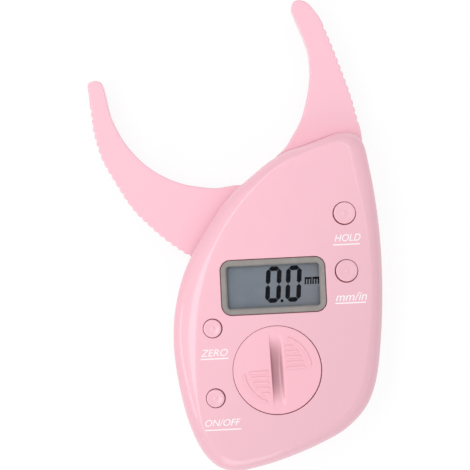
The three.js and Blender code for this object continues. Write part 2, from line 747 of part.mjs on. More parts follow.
function coinSlot() {
  const half = Math.asin(slotLength / 2 / slotArc);
  const shape = new THREE.Shape();
  shape.absarc(0, slotArc - slotDepth, slotArc, -Math.PI / 2 - half, -Math.PI / 2 + half);
  shape.lineTo(slotLength / 2, overrun);
  shape.lineTo(-slotLength / 2, overrun);
  const geometry = new THREE.ExtrudeGeometry(shape, {
    depth: slotWidth, bevelEnabled: false, curveSegments: slotSteps,
  });
  geometry.translate(0, 0, -slotWidth / 2).rotateX(Math.PI / 2).rotateZ(Math.PI / 2);
  return solid(geometry).translate([0, 0, bodyThickness]);
}
// The pads' ribs fill two opposite quarters of the disc, beside the slot
function padRibs() {
  const bodies = [];
  for (let row = 0; row < ribCount; row += 1) {
    const y = ribPitch * (row + 1 / 2);
    const inner = slotWidth / 2 + ribWidth;
    const outer = Math.sqrt(padRadius * padRadius - y * y);
    [1, -1].forEach((side) => {
      const rib = new THREE.BoxGeometry(outer - inner, ribWidth, ribHeight + overrun);
      rib.translate(side * (inner + outer) / 2, side * y, bodyThickness + (ribHeight - overrun) / 2);
      bodies.push(solid(rib));
    });
  }
  return join(bodies);
}
const coverDisc = turned([
  [0, coverBottom], [skirtRadius - skirtWall, coverBottom], [skirtRadius - skirtWall, skirtBottom],
  [skirtRadius, skirtBottom], [skirtRadius, coverBottom], [coverRadius, coverBottom],
  [coverRadius, bodyThickness - capEdge], [coverRadius - capEdge, bodyThickness], [0, bodyThickness],
]);
const turnedCover = coverDisc.subtract(coinSlot()).add(padRibs()).rotate([0, 0, slotTurn]);
piece('battery_cover', join([turnedCover, lug, lug.rotate([0, 0, 180])]), looks.shell(), battery);

// Seal, cell and contacts in the compartment
const ledge = skirtBottom - sealWire - restGap;
const sealSection = Array.from({ length: 7 }, (_, step) => {
  const angle = -Math.PI / 2 + step * Math.PI / 3;
  return [
    skirtRadius - skirtWall / 2 + sealWire / 2 * Math.cos(angle),
    ledge + restGap / 2 + sealWire / 2 + sealWire / 2 * Math.sin(angle),
  ];
});
piece('battery_seal', turned(sealSection, middleSteps), looks.seal(), battery);
const pocketFloor = ledge - cellPocketDepth;
const cellBottom = coverBottom - fitGap - cellThickness;
const cell = turned(scaled(cellProfileShares, cellRadius, cellThickness));
piece('coin_cell', cell, looks.steel(), seat(0, 0, cellBottom, battery));
// The negative contact lies on the pocket's floor with a raised leaf under the cell
const leafTop = cellBottom - fitGap;
const contactPlate = new THREE.BoxGeometry(cellRadius, contactWidth, contactThickness);
const leafProfile = [
  [-contactWidth, 0], [-contactWidth, contactThickness], [-contactWidth / 4, leafTop - pocketFloor],
  [contactWidth / 4, leafTop - pocketFloor], [contactWidth, contactThickness], [contactWidth, 0],
].reverse().map(([x, y]) => new THREE.Vector2(x, y));
const leaf = prism(leafProfile, -contactWidth / 4, contactWidth / 4).rotate([90, 0, 0]);
const negative = solid(contactPlate).translate([0, 0, contactThickness / 2]).add(leaf);
piece('negative_contact', negative, looks.gold(), seat(0, 0, pocketFloor, battery));
// The positive contact stands on the ledge beside the cell
const positiveFoot = new THREE.BoxGeometry(contactThickness * 4, contactWidth, contactThickness);
const positiveBlade = new THREE.BoxGeometry(contactThickness, contactWidth, cellThickness);
const positive = solid(positiveFoot).translate([contactThickness * 2, 0, contactThickness / 2])
  .add(solid(positiveBlade).translate([contactThickness / 2, 0, cellThickness / 2]));
piece('positive_contact', positive, looks.gold(), seat(cellRadius + fitGap, 0, ledge, battery));

// Front cover: a bevelled shell with the display well, battery well, button holes and bosses
const bevelEnd = bevelArc * Math.PI / 180;
const bevelRings = [1, 2, 3, 4].map((step) => {
  const angle = bevelEnd * step / 4;
  const share = (1 - Math.cos(angle)) / (1 - Math.cos(bevelEnd));
  const height = bodyThickness - bevelHeight + bevelHeight * Math.sin(angle) / Math.sin(bevelEnd);
  return atHeight(between(share), height);
});
const coverOutside = loft([
  atHeight(bodyEdge, partingHeight),
  atHeight(bodyEdge, bodyThickness - bevelHeight),
  ...bevelRings,
]);
const coverInside = loft([
  atHeight(moved(bodyEdge, sideWall), partingHeight - overrun),
  atHeight(moved(bodyEdge, sideWall), bodyThickness - bevelHeight - sideWall / 2),
  atHeight(faceEdge, faceInside),
]);
const inDisplay = (body) => body.translate([...inBody(displayPlaceShare), 0]);
const inWell = (body) => body.translate([...wellPlace, 0]);
const bezelSize = [bezelLength, bezelWidth];
const wellFoot = faceInside - displayWellFoot;
const displayWell = framed(
  bezelSize, fitGap + displayWellWall, wellFoot, faceInside + overrun, bezelCorner,
);
const wellBottom = pocketFloor - wellFloor;
const batteryWell = disc(wellOuter, wellBottom, faceInside + overrun);
const coverBosses = [
  ...boardPlaces.map(([x, y]) => (
    disc(boardBossRadius, boardTopFace, faceInside + overrun, smallSteps).translate([x, y, 0])
  )),
  ...casePlaces.map(([x, y]) => (
    disc(caseBossRadius, partingHeight, faceInside + overrun, smallSteps).translate([x, y, 0])
  )),
];
const caseScrewEnd = caseScrewRecess + caseScrewLength;
const coverCuts = [
  inDisplay(framed(bezelSize, fitGap, bezelBottom, bodyThickness + overrun, bezelCorner)),
  inDisplay(framed(panelSize, fitGap, wellBottom, bodyThickness)),
  inWell(disc(coverRadius + fitGap, coverBottom - fitGap, bodyThickness + overrun)),
  inWell(disc(skirtRadius + fitGap, ledge, bodyThickness)),
  inWell(disc(cellRadius + fitGap + restGap, pocketFloor, bodyThickness)),
  inWell(groove),
  inWell(groove.rotate([0, 0, 180])),
  ...buttons.map(([, spot, radius]) => (
    disc(radius + capGap, faceInside - overrun, bodyThickness + overrun, middleSteps)
      .translate([...spot, 0])
  )),
  ...boardPlaces.map(([x, y]) => disc(
    boardScrewRadius + restGap, boardHeight, boardHeight + boardScrewLength + fitGap, smallSteps,
  ).translate([x, y, 0])),
  ...casePlaces.map(([x, y]) => disc(
    caseScrewRadius + restGap, partingHeight - overrun, caseScrewEnd + fitGap, smallSteps,
  ).translate([x, y, 0])),
];
// The walls make way for the buttons' flanges
const flangeWays = buttons.map(([, spot, radius]) => (
  disc(radius + flangeWidth + fitGap, boardTopFace, faceInside, middleSteps).translate([...spot, 0])
));
const coverFittings = join([inDisplay(displayWell), inWell(batteryWell), ...coverBosses]);
const coverBody = coverOutside.subtract(coverInside).add(coverFittings).intersect(coverOutside);
piece('front_cover', cut(coverBody, [...flangeWays, ...coverCuts]), looks.shell());

// Case screws, heads down in the rear recesses
casePlaces.forEach(([x, y], index) => {
  const place = seat(x, y, caseScrewRecess);
  const body = screw(caseScrewRadius, caseScrewLength, caseScrewHead, caseScrewHeadHeight);
  place.rotation.x = Math.PI;
  piece(`case_screw_${index + 1}`, body, looks.steel(), place);
});

export default caliper;
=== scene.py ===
import math

import bpy
from mathutils import Matrix, Vector
from mathutils.geometry import interpolate_bezier


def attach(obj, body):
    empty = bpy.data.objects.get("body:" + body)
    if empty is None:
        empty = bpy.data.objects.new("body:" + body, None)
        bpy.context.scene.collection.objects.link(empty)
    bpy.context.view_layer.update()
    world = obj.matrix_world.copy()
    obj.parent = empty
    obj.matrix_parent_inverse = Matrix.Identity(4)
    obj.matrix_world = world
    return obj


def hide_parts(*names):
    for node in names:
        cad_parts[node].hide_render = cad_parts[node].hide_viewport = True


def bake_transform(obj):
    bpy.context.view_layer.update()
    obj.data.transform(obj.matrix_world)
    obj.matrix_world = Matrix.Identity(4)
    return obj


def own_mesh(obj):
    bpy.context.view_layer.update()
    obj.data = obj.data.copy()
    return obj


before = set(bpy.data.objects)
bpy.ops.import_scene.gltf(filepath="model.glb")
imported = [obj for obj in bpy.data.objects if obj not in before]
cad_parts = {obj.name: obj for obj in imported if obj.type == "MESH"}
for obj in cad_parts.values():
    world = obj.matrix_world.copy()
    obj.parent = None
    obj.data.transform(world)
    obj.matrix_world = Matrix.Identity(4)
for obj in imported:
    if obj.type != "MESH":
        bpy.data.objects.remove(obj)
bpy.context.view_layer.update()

# The camera looks straight down on the face from arm's length and is turned a little, so that the
# caliper leans to the left in the picture.
mm = 0.001
lens = bpy.data.cameras.new("camera")
lens.lens = 139.25
lens.sensor_width = 36
camera = bpy.data.objects.new("camera", lens)
camera.location = (-13.41 * mm, -2.18 * mm, 650 * mm)
camera.rotation_euler = (0, 0, math.radians(-2.8))
bpy.context.scene.collection.objects.link(camera)
bpy.context.scene.camera = camera
bpy.context.scene.view_settings.view_transform = "Standard"


# The table is a white sheet of card that the back lies on. It shows white to the camera and in
# reflections, and keeps a share of the light that falls on it, and with it the caliper's shadow.
class Wire:
    """A value in a material: sums on it add Math nodes, and add() puts in any other node."""

    def __init__(self, tree, socket=None):
        self.tree = tree
        self.socket = socket

    def feed(self, socket, value):
        if isinstance(value, Wire):
            self.tree.links.new(value.socket, socket)
        else:
            socket.default_value = value

    def add(self, kind, settings=None, inputs=None, output=0):
        node = self.tree.nodes.new(kind)
        for name, value in (settings or {}).items():
            setattr(node, name, value)
        for name, value in (inputs or {}).items():
            self.feed(node.inputs[name], value)
        return Wire(self.tree, node.outputs[output])

    def maths(self, operation, first, second):
        return self.add("ShaderNodeMath", {"operation": operation}, {0: first, 1: second})

    def __add__(self, other):
        return self.maths("ADD", self, other)

    __radd__ = __add__

    def __rsub__(self, other):
        return self.maths("SUBTRACT", other, self)

    def __mul__(self, other):
        return self.maths("MULTIPLY", self, other)

    def vector(self, operation, other, output=0):
        return self.add("ShaderNodeVectorMath", {"operation": operation}, {0: self, 1: other}, output)

    def part(self, axis):
        """The X, Y or Z part of a vector."""
        return self.add("ShaderNodeSeparateXYZ", inputs={0: self}, output=axis)

    def between(self, low, high):
        """0 below low, 1 above high, and a smooth rise from one to the other."""
        return self.add("ShaderNodeMapRange", {"interpolation_type": "SMOOTHSTEP"},
                        {"Value": self, "From Min": low, "From Max": high})

    def colours(self, low, high):
        """The first colour where this value is 0 and the second where it is 1."""
        return self.add("ShaderNodeMix", {"data_type": "RGBA"}, {0: self, 6: low, 7: high}, 2)


def blank(name):
    """A material with an empty tree, the wire that nodes are added from, and its output node."""
    material = bpy.data.materials.new(name)
    material.use_nodes = True
    tree = material.node_tree
    tree.nodes.clear()
    return material, Wire(tree), tree.nodes.new("ShaderNodeOutputMaterial")


def alone(piece):
    """Leaves only this piece selected and active."""
    bpy.ops.object.select_all(action="DESELECT")
    piece.select_set(True)
    bpy.context.view_layer.objects.active = piece


table_size, table_gap = 6, 0.05 * mm
table_glow_share = 0.85
bpy.ops.mesh.primitive_plane_add(size=table_size, location=(0, 0, -table_gap))
table = bpy.context.object
table.name = "table"
card, start, card_out = blank("white_card")
rays = start.add("ShaderNodeLightPath", output="Is Camera Ray")
for other in ("Is Glossy Ray", "Is Transmission Ray"):
    rays = rays + start.add("ShaderNodeLightPath", output=other)
matt = start.add("ShaderNodeBsdfDiffuse", inputs={"Color": (0.9, 0.9, 0.9, 1)})
glow = start.add("ShaderNodeEmission", inputs={"Color": (1, 1, 1, 1), "Strength": 1.03})
white = start.add("ShaderNodeMixShader", inputs={0: rays * table_glow_share, 1: matt, 2: glow})
start.feed(card_out.inputs["Surface"], white)
table.data.materials.append(card)

# Soft white studio light, as in a light tent: two long panels overhead on either side of the camera, the
# left one stronger, a low panel at the foot, a cool card far left, and a room that is brighter above.
lamps = [
    ("left_panel", (-290, 105, 640), 190, 800, 1.33, (0.94, 0.99, 1)),
    ("left_card", (-590, -90, 400), 70, 300, 0.22, (0.86, 0.9, 1)),
    ("right_panel", (300, 230, 680), 190, 560, 0.44, (1, 1, 1)),
    ("low_panel", (-60, -560, 330), 360, 420, 0.66, (1, 1, 1)),
]
for name, place, width, length, power, tint in lamps:
    light = bpy.data.lights.new(name, "AREA")
    light.color = tint
    light.shape = "RECTANGLE"
    light.energy = power
    light.size = width * mm
    light.size_y = length * mm
    lamp = bpy.data.objects.new(name, light)
    lamp.location = [part * mm for part in place]
    lamp.rotation_euler = (-lamp.location).to_track_quat("-Z", "X").to_euler()
    bpy.context.scene.collection.objects.link(lamp)
room = bpy.data.worlds.new("room")
room.use_nodes = True
backdrop = Wire(room.node_tree)
overhead = backdrop.add("ShaderNodeTexCoord", output="Generated").part("Z").between(0, 0.8)
air = overhead.colours((0.5, 0.51, 0.53, 1), (0.72, 0.72, 0.72, 1))
backdrop.feed(room.node_tree.nodes["Background"].inputs["Color"], air)
bpy.context.scene.world = room


# The shells, arms, buttons and battery cover are moulded in one pale pink ABS with a fine satin spark
# finish: faint flow marks in the colour, a fine grain, and gloss that varies from place to place. The
# colour also runs deeper towards the lower right, which is painted shade, and holes and gaps take a
# dark rose, which is painted shade too.
def seen(red, green, blue):
    """A colour as it looks on a screen, from 0 to 255, as the linear values that shaders take."""
    return tuple(((part / 255 + 0.055) / 1.055) ** 2.4 for part in (red, green, blue)) + (1,)


def finish(name, fixed, varying):
    """A Principled material from its constants and a function of the place for what varies."""
    material, start, out = blank(name)
    shader = start.tree.nodes.new("ShaderNodeBsdfPrincipled")
    place = start.add("ShaderNodeTexCoord", output="Object")
    for socket, value in {**fixed, **varying(place)}.items():
        start.feed(shader.inputs[socket], value)
    start.feed(out.inputs["Surface"], Wire(start.tree, shader.outputs[0]))
    return material


def grain(place, size, detail=2):
    """Noise whose spots are about this size."""
    return place.add("ShaderNodeTexNoise", {}, {"Vector": place, "Scale": 1 / size, "Detail": detail})


def relief(height, depth):
    """A bump of this depth from a value between 0 and 1."""
    return height.add("ShaderNodeBump", {}, {"Height": height, "Distance": depth, "Strength": 1})


def moulded(colour, deeper, *hollows):
    """What varies over moulded plastic of this colour, which runs a shade deeper in flow marks and, as
    painted shade, towards the lower right, and takes each hollow's painted shade colour where its mask is 1."""
    def looks(place):
        flow = grain(place, 28 * mm, 3)
        cloud = grain(place, 5 * mm, 4)
        spark = grain(place, 0.22 * mm, 1)
        # The colour runs deeper from the upper left to the lower right: painted shade for the light that
        # falls off across the face.
        along = place.vector("DOT_PRODUCT", (0.8, -0.6, 0), 1)
        tone = along.between(-30 * mm, 65 * mm) * 0.7 + flow * 0.3 + cloud * 0.2
        skin = tone.between(0.1, 1).colours(colour, deeper)
        for mask, shade_colour in hollows:
            skin = mask(place).colours(skin, shade_colour)
        return {
            "Base Color": skin,
            "Roughness": 0.28 + cloud * 0.08 + spark * 0.06,
            "Normal": relief(spark * 0.7 + cloud * 0.3, 0.009 * mm),
        }
    return looks


def sunk(place):
    """1 inside the holes of the face, and 0 at the face."""
    return 1 - place.part("Z").between(19.1 * mm, 19.6 * mm)


def cover_hole_shade(place):
    """Where the holes in the face get painted shade: their walls, and the ledges inside them."""
    height = place.part("Z")
    upright = place.add("ShaderNodeTexCoord", output="Normal").part("Z")
    wall = (1 - upright.between(0.15, 0.35)) * sunk(place)
    ledge = upright.between(0.95, 0.99) * (1 - height.between(18.1 * mm, 18.3 * mm))
    return (wall + ledge) * height.between(16.8 * mm, 17 * mm)


satin = {"IOR": 1.5, "Coat Weight": 0.8, "Coat Roughness": 0.05}
# The dark rose is painted shade for the walls of holes and the gaps round the caps and the battery cover.
pink, deep_and_shaded_pink, gap_shade_rose = seen(255, 194, 207), seen(238, 186, 198), seen(255, 104, 128)
cover_plastic = finish("cover_plastic", satin, moulded(pink, deep_and_shaded_pink, (cover_hole_shade, gap_shade_rose)))

# The front cover is the upper shell of pink plastic: a rounded side wall, a broad bevel that ends in a
# soft crease, and a flat face with a pocket for the display, four button holes and the battery well.
body_width = 74 * mm
body_length = 117 * mm
face_height = 20 * mm
parting_height = 11.2 * mm
bevel_height = 4.6 * mm
side_wall = 2.2 * mm
face_thickness = 2.4 * mm
outline_shares = [
    (0.08, 0.223, 0.093, 0.196), (0.154, 0.236, 0.16, 0.213), (0.25, 0.256, 0.25, 0.234),
    (0.341, 0.272, 0.322, 0.241), (0.409, 0.261, 0.365, 0.229), (0.442, 0.237, 0.377, 0.203),
    (0.466, 0.167, 0.388, 0.147), (0.491, 0.047, 0.421, 0.042), (0.503, -0.085, 0.443, -0.085),
    (0.499, -0.222, 0.443, -0.222), (0.482, -0.35, 0.42, -0.35), (0.449, -0.474, 0.383, -0.465),
    (0.399, -0.547, 0.339, -0.53), (0.3, -0.61, 0.251, -0.584), (0.169, -0.653, 0.137, -0.627),
    (0, -0.692, -0.016, -0.663), (-0.128, -0.713, -0.13, -0.68), (-0.223, -0.721, -0.216, -0.686),
    (-0.304, -0.709, -0.285, -0.67), (-0.372, -0.668, -0.337, -0.633), (-0.431, -0.589, -0.379, -0.567),
    (-0.472, -0.483, -0.393, -0.475), (-0.495, -0.342, -0.387, -0.342), (-0.478, -0.226, -0.364, -0.221),
    (-0.427, -0.12, -0.314, -0.107), (-0.342, -0.024, -0.251, -0.018), (-0.211, 0.089, -0.138, 0.079),
    (-0.076, 0.161, -0.03, 0.147), (0.002, 0.197, 0.029, 0.174),
]


def flowing(points, closed, steps):
    """Points on a smooth line through these, steps to each span."""
    count = len(points)
    line = []
    for index in range(count if closed else count - 1):
        one, two = points[index], points[(index + 1) % count]
        before = points[index - 1] if closed or index else one * 2 - two
        after = points[(index + 2) % count] if closed or index + 2 < count else two * 2 - one
        lead, span, trail = [(b - a).length ** 0.5 for a, b in ((before, one), (one, two), (two, after))]
        leaving = ((one - before) / lead - (two - before) / (lead + span) + (two - one) / span) * span
        arriving = ((two - one) / span - (after - one) / (span + trail) + (after - two) / trail) * span
        line += interpolate_bezier(one, one + leaving / 3, two - arriving / 3, two, steps + 1)[:-1]
    return line if closed else line + [points[-1]]


def body_line(column):
    """The body's outer edge (column 0) or its crease (column 2), anticlockwise."""
    points = [Vector((row[column] * body_width, row[column + 1] * body_length, 0))
              for row in outline_shares[::-1]]
    return flowing(points, True, 6)


body_edge = body_line(0)
face_edge = body_line(2)


def drawn_in(outline, distance):
    """An anticlockwise outline moved inwards, corner by corner."""
    moved = []
    for index, point in enumerate(outline):
        into = (point - outline[index - 1]).normalized()
        out = (outline[(index + 1) % len(outline)] - point).normalized()
        along = (into + out).normalized()
        reach = distance / along.dot(out)
        moved.append(point + Vector((-along.y, along.x, 0)) * reach)
    return moved


def lifted(outline, height):
    return [Vector((point.x, point.y, height)) for point in outline]


def body_ring(inset, height):
    return lifted(drawn_in(body_edge, inset), height)


def bevel_ring(share, height):
    """The outline at this share of the way from the body's edge to its crease."""
    return lifted([edge.lerp(crease, share) for edge, crease in zip(body_edge, face_edge)], height)


def wrapped(name, rings):
    """A closed skin over rings of points: a grid rolled round them, welded along its seam and capped."""
    around, levels = len(rings[0]), len(rings) - 1
    bpy.ops.mesh.primitive_grid_add(x_subdivisions=around, y_subdivisions=levels, size=1)
    piece = bpy.context.object
    piece.name = piece.data.name = name
    for vertex in piece.data.vertices:
        step = round((vertex.co.x + 0.5) * around) % around
        vertex.co = rings[round((vertex.co.y + 0.5) * levels)][step]
    bpy.ops.object.mode_set(mode="EDIT")
    bpy.ops.mesh.select_all(action="SELECT")
    bpy.ops.mesh.remove_doubles(threshold=0.0001 * mm)
    bpy.ops.mesh.fill_holes(sides=0)
    bpy.ops.mesh.select_all(action="SELECT")
    bpy.ops.mesh.normals_make_consistent(inside=False)
    bpy.ops.object.mode_set(mode="OBJECT")
    return piece


def turned(name, profile, centre=(0, 0), steps=64):
    """A turned solid: its section, a loop of radii and heights, spun round an upright axis."""
    bpy.ops.mesh.primitive_circle_add(vertices=len(profile), fill_type="NOTHING")
    piece = bpy.context.object
    piece.name = piece.data.name = name
    for vertex, (radius, height) in zip(piece.data.vertices, profile):
        vertex.co = (centre[0] + radius, centre[1], height)
    bpy.ops.object.mode_set(mode="EDIT")
    bpy.ops.mesh.select_all(action="SELECT")
    bpy.ops.mesh.spin(steps=steps, angle=math.tau, center=(*centre, 0), axis=(0, 0, 1))
    bpy.ops.mesh.select_all(action="SELECT")
    bpy.ops.mesh.remove_doubles(threshold=0.001 * mm)
    bpy.ops.mesh.normals_make_consistent(inside=False)
    bpy.ops.object.mode_set(mode="OBJECT")
    return piece


def rod(radius, bottom, top, centre=(0, 0), steps=48):
    return turned("rod", [(0, bottom), (radius, bottom), (radius, top), (0, top)], centre, steps)


def carve(piece, tool, operation="DIFFERENCE"):
    """Cuts a tool out of a piece, or joins it on, and puts the tool away."""
    alone(piece)
    modifier = piece.modifiers.new("carve", "BOOLEAN")
    modifier.operation = operation
    modifier.object = tool
    modifier.solver = "EXACT"
    bpy.ops.object.modifier_apply(modifier=modifier.name)
    bpy.data.objects.remove(tool)


def mended(piece):
    """Joins corners that the cuts left lying on each other."""
    alone(piece)
    modifier = piece.modifiers.new("mend", "WELD")
    modifier.merge_threshold = 0.001 * mm
    bpy.ops.object.modifier_apply(modifier=modifier.name)


def smoothed(piece):
    """Shades soft edges round and keeps flat faces flat."""
    alone(piece)
    bpy.ops.object.shade_smooth_by_angle(angle=math.radians(32))
    modifier = piece.modifiers.new("even", "WEIGHTED_NORMAL")
    modifier.keep_sharp = True
    bpy.ops.object.modifier_apply(modifier=modifier.name)


def dress(piece, material, body, slot=None, *nodes):
    """Gives a finished piece its material and the body that carries it, and hides the frame's parts that it
    stands for. The slot is not used.
    """
    piece.data.materials.clear()
    piece.data.materials.append(material)
    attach(piece, body)
    if nodes:
        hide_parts(*nodes)


def rounding(size, steps=4):
    """A quarter round from its side to its top: pairs of how far in and how far down each point is."""
    angles = [math.pi / 2 * step / steps for step in range(steps + 1)]
    return [(size * (1 - math.cos(angle)), size * (1 - math.sin(angle))) for angle in angles]


def hole(centre, radius, bottom, edge):
    """A tool for a round hole through the face, whose rim is rounded by its edge size."""
    rim = [(radius + out, face_height - down) for out, down in rounding(edge)]
    top = face_height + mm
    return turned("hole", [(0, bottom), (radius, bottom), *rim, (radius + edge, top), (0, top)], centre)


def corner_ring(length, width, corner, height, centre):
    """Points round a rectangle with round corners, anticlockwise."""
    points = []
    for quarter, (across, up) in enumerate(((1, 1), (-1, 1), (-1, -1), (1, -1))):
        for step in range(9):
            angle = math.pi / 2 * (quarter + step / 8)
            points.append(Vector((
                centre[0] + across * (length / 2 - corner) + corner * math.cos(angle),
                centre[1] + up * (width / 2 - corner) + corner * math.sin(angle),
                height,
            )))
    return points


def plate(name, length, width, corner, bottom, top, centre, edge=0):
    """A plate with round corners, whose top edge is rounded over by its edge size."""
    rings = [corner_ring(length, width, corner, bottom, centre)]
    for inset, down in rounding(edge) if edge else [(0, 0)]:
        rings.append(corner_ring(length - inset * 2, width - inset * 2, corner - inset, top - down, centre))
    return wrapped(name, rings)


edge_break = 0.2 * mm
crease_share = 0.09
bevel_steps = 20
crease_drop = 1.45 * mm
belly_drop = 1.3 * mm
bevel_turn = 3.6


def bevel_height_at(share):
    """How high the bevel stands at this share of the way from the outer edge to the crease: it turns
    over quickly at the edge, and then slopes gently."""
    left = 1 - share
    turn = 1 - (1 - left ** bevel_turn) ** (1 / bevel_turn)
    slope = crease_drop * left + belly_drop * left ** 2
    return face_height - slope - (bevel_height - crease_drop - belly_drop) * turn


cover_rings = [body_ring(edge_break, parting_height), lifted(body_edge, parting_height + edge_break)]
for step in range(bevel_steps + 1):
    share = (step / bevel_steps) ** 2.5 * (1 - crease_share)
    cover_rings.append(bevel_ring(share, bevel_height_at(share)))
low = Vector((1 - crease_share, bevel_height_at(1 - crease_share)))
corner, high = Vector((1, face_height)), Vector((1 + crease_share, face_height))
for step in range(1, 9):
    share, height = low.lerp(corner, step / 8).lerp(corner.lerp(high, step / 8), step / 8)
    cover_rings.append(bevel_ring(share, height))
cover_rings.append(bevel_ring(1 + crease_share * 1.5, face_height))
front_cover = wrapped("front_cover", cover_rings)

display_centre = (-0.999 * mm, -20.475 * mm)
battery_centre = (-0.999 * mm, -49.725 * mm)
board_top = 13.8 * mm
face_inside = face_height - face_thickness
cavity = wrapped("cavity", [
    body_ring(side_wall, parting_height - mm),
    body_ring(side_wall, face_height - bevel_height - side_wall / 2),
    lifted(face_edge, face_inside),
])
well_radius, well_bottom = 17.2 * mm, 11.6 * mm
carve(cavity, rod(well_radius, well_bottom, face_height, battery_centre, 64))
bezel_length, bezel_width, bezel_corner = 36.3 * mm, 19 * mm, 3.5 * mm
panel_length, panel_width = 34.3 * mm, 17 * mm
panel_wall, panel_wall_bottom = 1.3 * mm, 14.8 * mm
carve(cavity, plate("display_well", bezel_length + panel_wall * 2, bezel_width + panel_wall * 2,
                    bezel_corner + panel_wall, panel_wall_bottom, face_height, display_centre))


def in_mm(*spots):
    return [(x * mm, y * mm) for x, y in spots]


case_screws = in_mm((26.49, 24.45), (30.19, -38.96), (-22.5, -71.96), (19.54, -66.46), (-29.53, -22))
board_screws = in_mm((-24.57, -12.99), (27.53, -6.55), (-25.53, -46.45), (12.51, 3.51))
boss_top = 18.5 * mm
for places, radius, hole_radius, foot, hole_top in (
    (case_screws, 2.7 * mm, 1.3 * mm, 10 * mm, 13.9 * mm),
    (board_screws, 2.3 * mm, 1.05 * mm, board_top, 17.3 * mm),
):
    for centre in places:
        carve(cavity, turned("boss", [
            (hole_radius, foot), (radius, foot), (radius, boss_top), (0, boss_top), (0, hole_top),
            (hole_radius, hole_top),
        ], centre, 32))
carve(front_cover, cavity)
cover_radius = 15.3 * mm
turn_gap = 0.2 * mm
seat_bottom = 17.5 * mm
carve(front_cover, hole(battery_centre, cover_radius + turn_gap, seat_bottom, 0.25 * mm))
cell_room_radius, cell_floor = 10.5 * mm, 12.6 * mm
seal_room_radius, seal_ledge = 14.6 * mm, 13.4 * mm
carve(front_cover, turned("cell_room", [
    (0, cell_floor), (cell_room_radius, cell_floor), (cell_room_radius, seal_ledge),
    (seal_room_radius, seal_ledge), (seal_room_radius, face_height), (0, face_height),
], battery_centre))


def bent(name, inner, outer, bottom, top, start, end, rise=0, steps=24):
    """A block bent round the upright axis from one angle to another, rising steadily on the way."""
    rings = []
    for step in range(steps + 1):
        angle = start + (end - start) * step / steps
        lift = rise * step / steps
        rings.append([
            Vector((radius * math.cos(angle), radius * math.sin(angle), height + lift))
            for radius, height in ((inner, bottom), (outer, bottom), (outer, top), (inner, top))
        ])
    return wrapped(name, rings)


lug_inner, lug_outer = 13.6 * mm, 15.2 * mm
lug_bottom, lug_top = 15.2 * mm, 16.1 * mm
lug_room = 0.3 * mm
lug_half, lug_spare, lug_turn = math.radians(12), math.radians(3), math.radians(60)
lug_rise = 1.6 * mm / lug_turn
for side in (0, math.pi):
    groove = bent(
        "groove", lug_inner, lug_outer + lug_room,
        lug_bottom - lug_room - lug_rise * lug_spare, lug_top + lug_room - lug_rise * lug_spare,
        side - lug_half - lug_spare, side + lug_half + lug_turn + lug_spare,
        lug_rise * (lug_half * 2 + lug_turn + lug_spare * 2),
    )
    groove.data.transform(Matrix.Translation((*battery_centre, 0)))
    carve(front_cover, groove)
cap_gap, cap_hole_edge = 0.27 * mm, 0.18 * mm
buttons = {
    "hold": ((24.79 * mm, 3.51 * mm), 3.8 * mm),
    "unit": ((24.57 * mm, -16.5 * mm), 3.8 * mm),
    "zero": ((-22.72 * mm, -34.16 * mm), 3.15 * mm),
    "power": ((-22.79 * mm, -58.38 * mm), 3.15 * mm),
}
for centre, radius in buttons.values():
    carve(front_cover, hole(centre, radius + cap_gap, face_inside - mm, cap_hole_edge))
carve(front_cover, wrapped("pocket", [
    corner_ring(bezel_length + grow * 2, bezel_width + grow * 2, bezel_corner + grow, height, display_centre)
    for grow, height in (
        (turn_gap, 18 * mm), (turn_gap, face_height - 0.2 * mm),
        (turn_gap + 0.06 * mm, face_height - 0.06 * mm), (turn_gap + 0.2 * mm, face_height),
        (turn_gap + 0.25 * mm, face_height + mm),
    )
]))
panel_room = 0.3 * mm
carve(front_cover, plate("panel_room", panel_length + panel_room * 2, panel_width + panel_room * 2,
                         1.7 * mm, 12 * mm, 19 * mm, display_centre))
mended(front_cover)
smoothed(front_cover)
dress(front_cover, cover_plastic, "case", "shell_plastic", "front_cover")

# The back shell is one moulding with the right arm, the fixed jaw, which grows out of its wall under the
# front cover. Both arms have their edges rounded over, and a comb of small round teeth along the
# outside. A slot in the shell's left wall lets the moving jaw swing.
jaw_reach = 77 * mm
fixed_reach = 80 * mm
tooth_pitch = 2.65 * mm
tooth_depth = 0.5 * mm
arm_edge_radius = 0.6 * mm
arm_bottom = 3 * mm
floor_top = 2.2 * mm
back_edge_radius = 3 * mm
fixed_outer = [
    (0.164, 0.991), (0.199, 0.977), (0.226, 0.945), (0.25, 0.909), (0.28, 0.836), (0.33, 0.692),
    (0.374, 0.55), (0.39, 0.479), (0.406, 0.407), (0.411, 0.355), (0.405, 0.27),
]
fixed_inner = [
    (0.14, 0.984), (0.127, 0.954), (0.139, 0.914), (0.166, 0.842), (0.189, 0.77), (0.195, 0.71),
    (0.195, 0.665), (0.185, 0.595), (0.167, 0.525), (0.142, 0.455), (0.1, 0.387),
    (0.079, 0.354), (0.054, 0.329), (0.033, 0.311), (0.008, 0.289), (-0.012, 0.262), (0.005, 0.235),
    (0.06, 0.22),
]
jaw_outer = [
    (-0.811, 0.694), (-0.81, 0.64), (-0.806, 0.57), (-0.799, 0.483), (-0.784, 0.409), (-0.761, 0.335),
    (-0.723, 0.26), (-0.634, 0.109), (-0.565, 0.032), (-0.482, -0.045), (-0.381, -0.117),
    (-0.266, -0.164), (-0.13, -0.156),
]
jaw_inner = [
    (-0.775, 0.706), (-0.752, 0.696), (-0.74, 0.664), (-0.732, 0.626), (-0.718, 0.552), (-0.69, 0.478),
    (-0.648, 0.403), (-0.583, 0.326), (-0.53, 0.282), (-0.467, 0.244), (-0.396, 0.215),
    (-0.323, 0.199), (-0.251, 0.19), (-0.14, 0.199), (-0.039, 0.175),
]


def scaled(shares, reach):
    return [Vector((x * reach, y * reach, 0)) for x, y in shares]


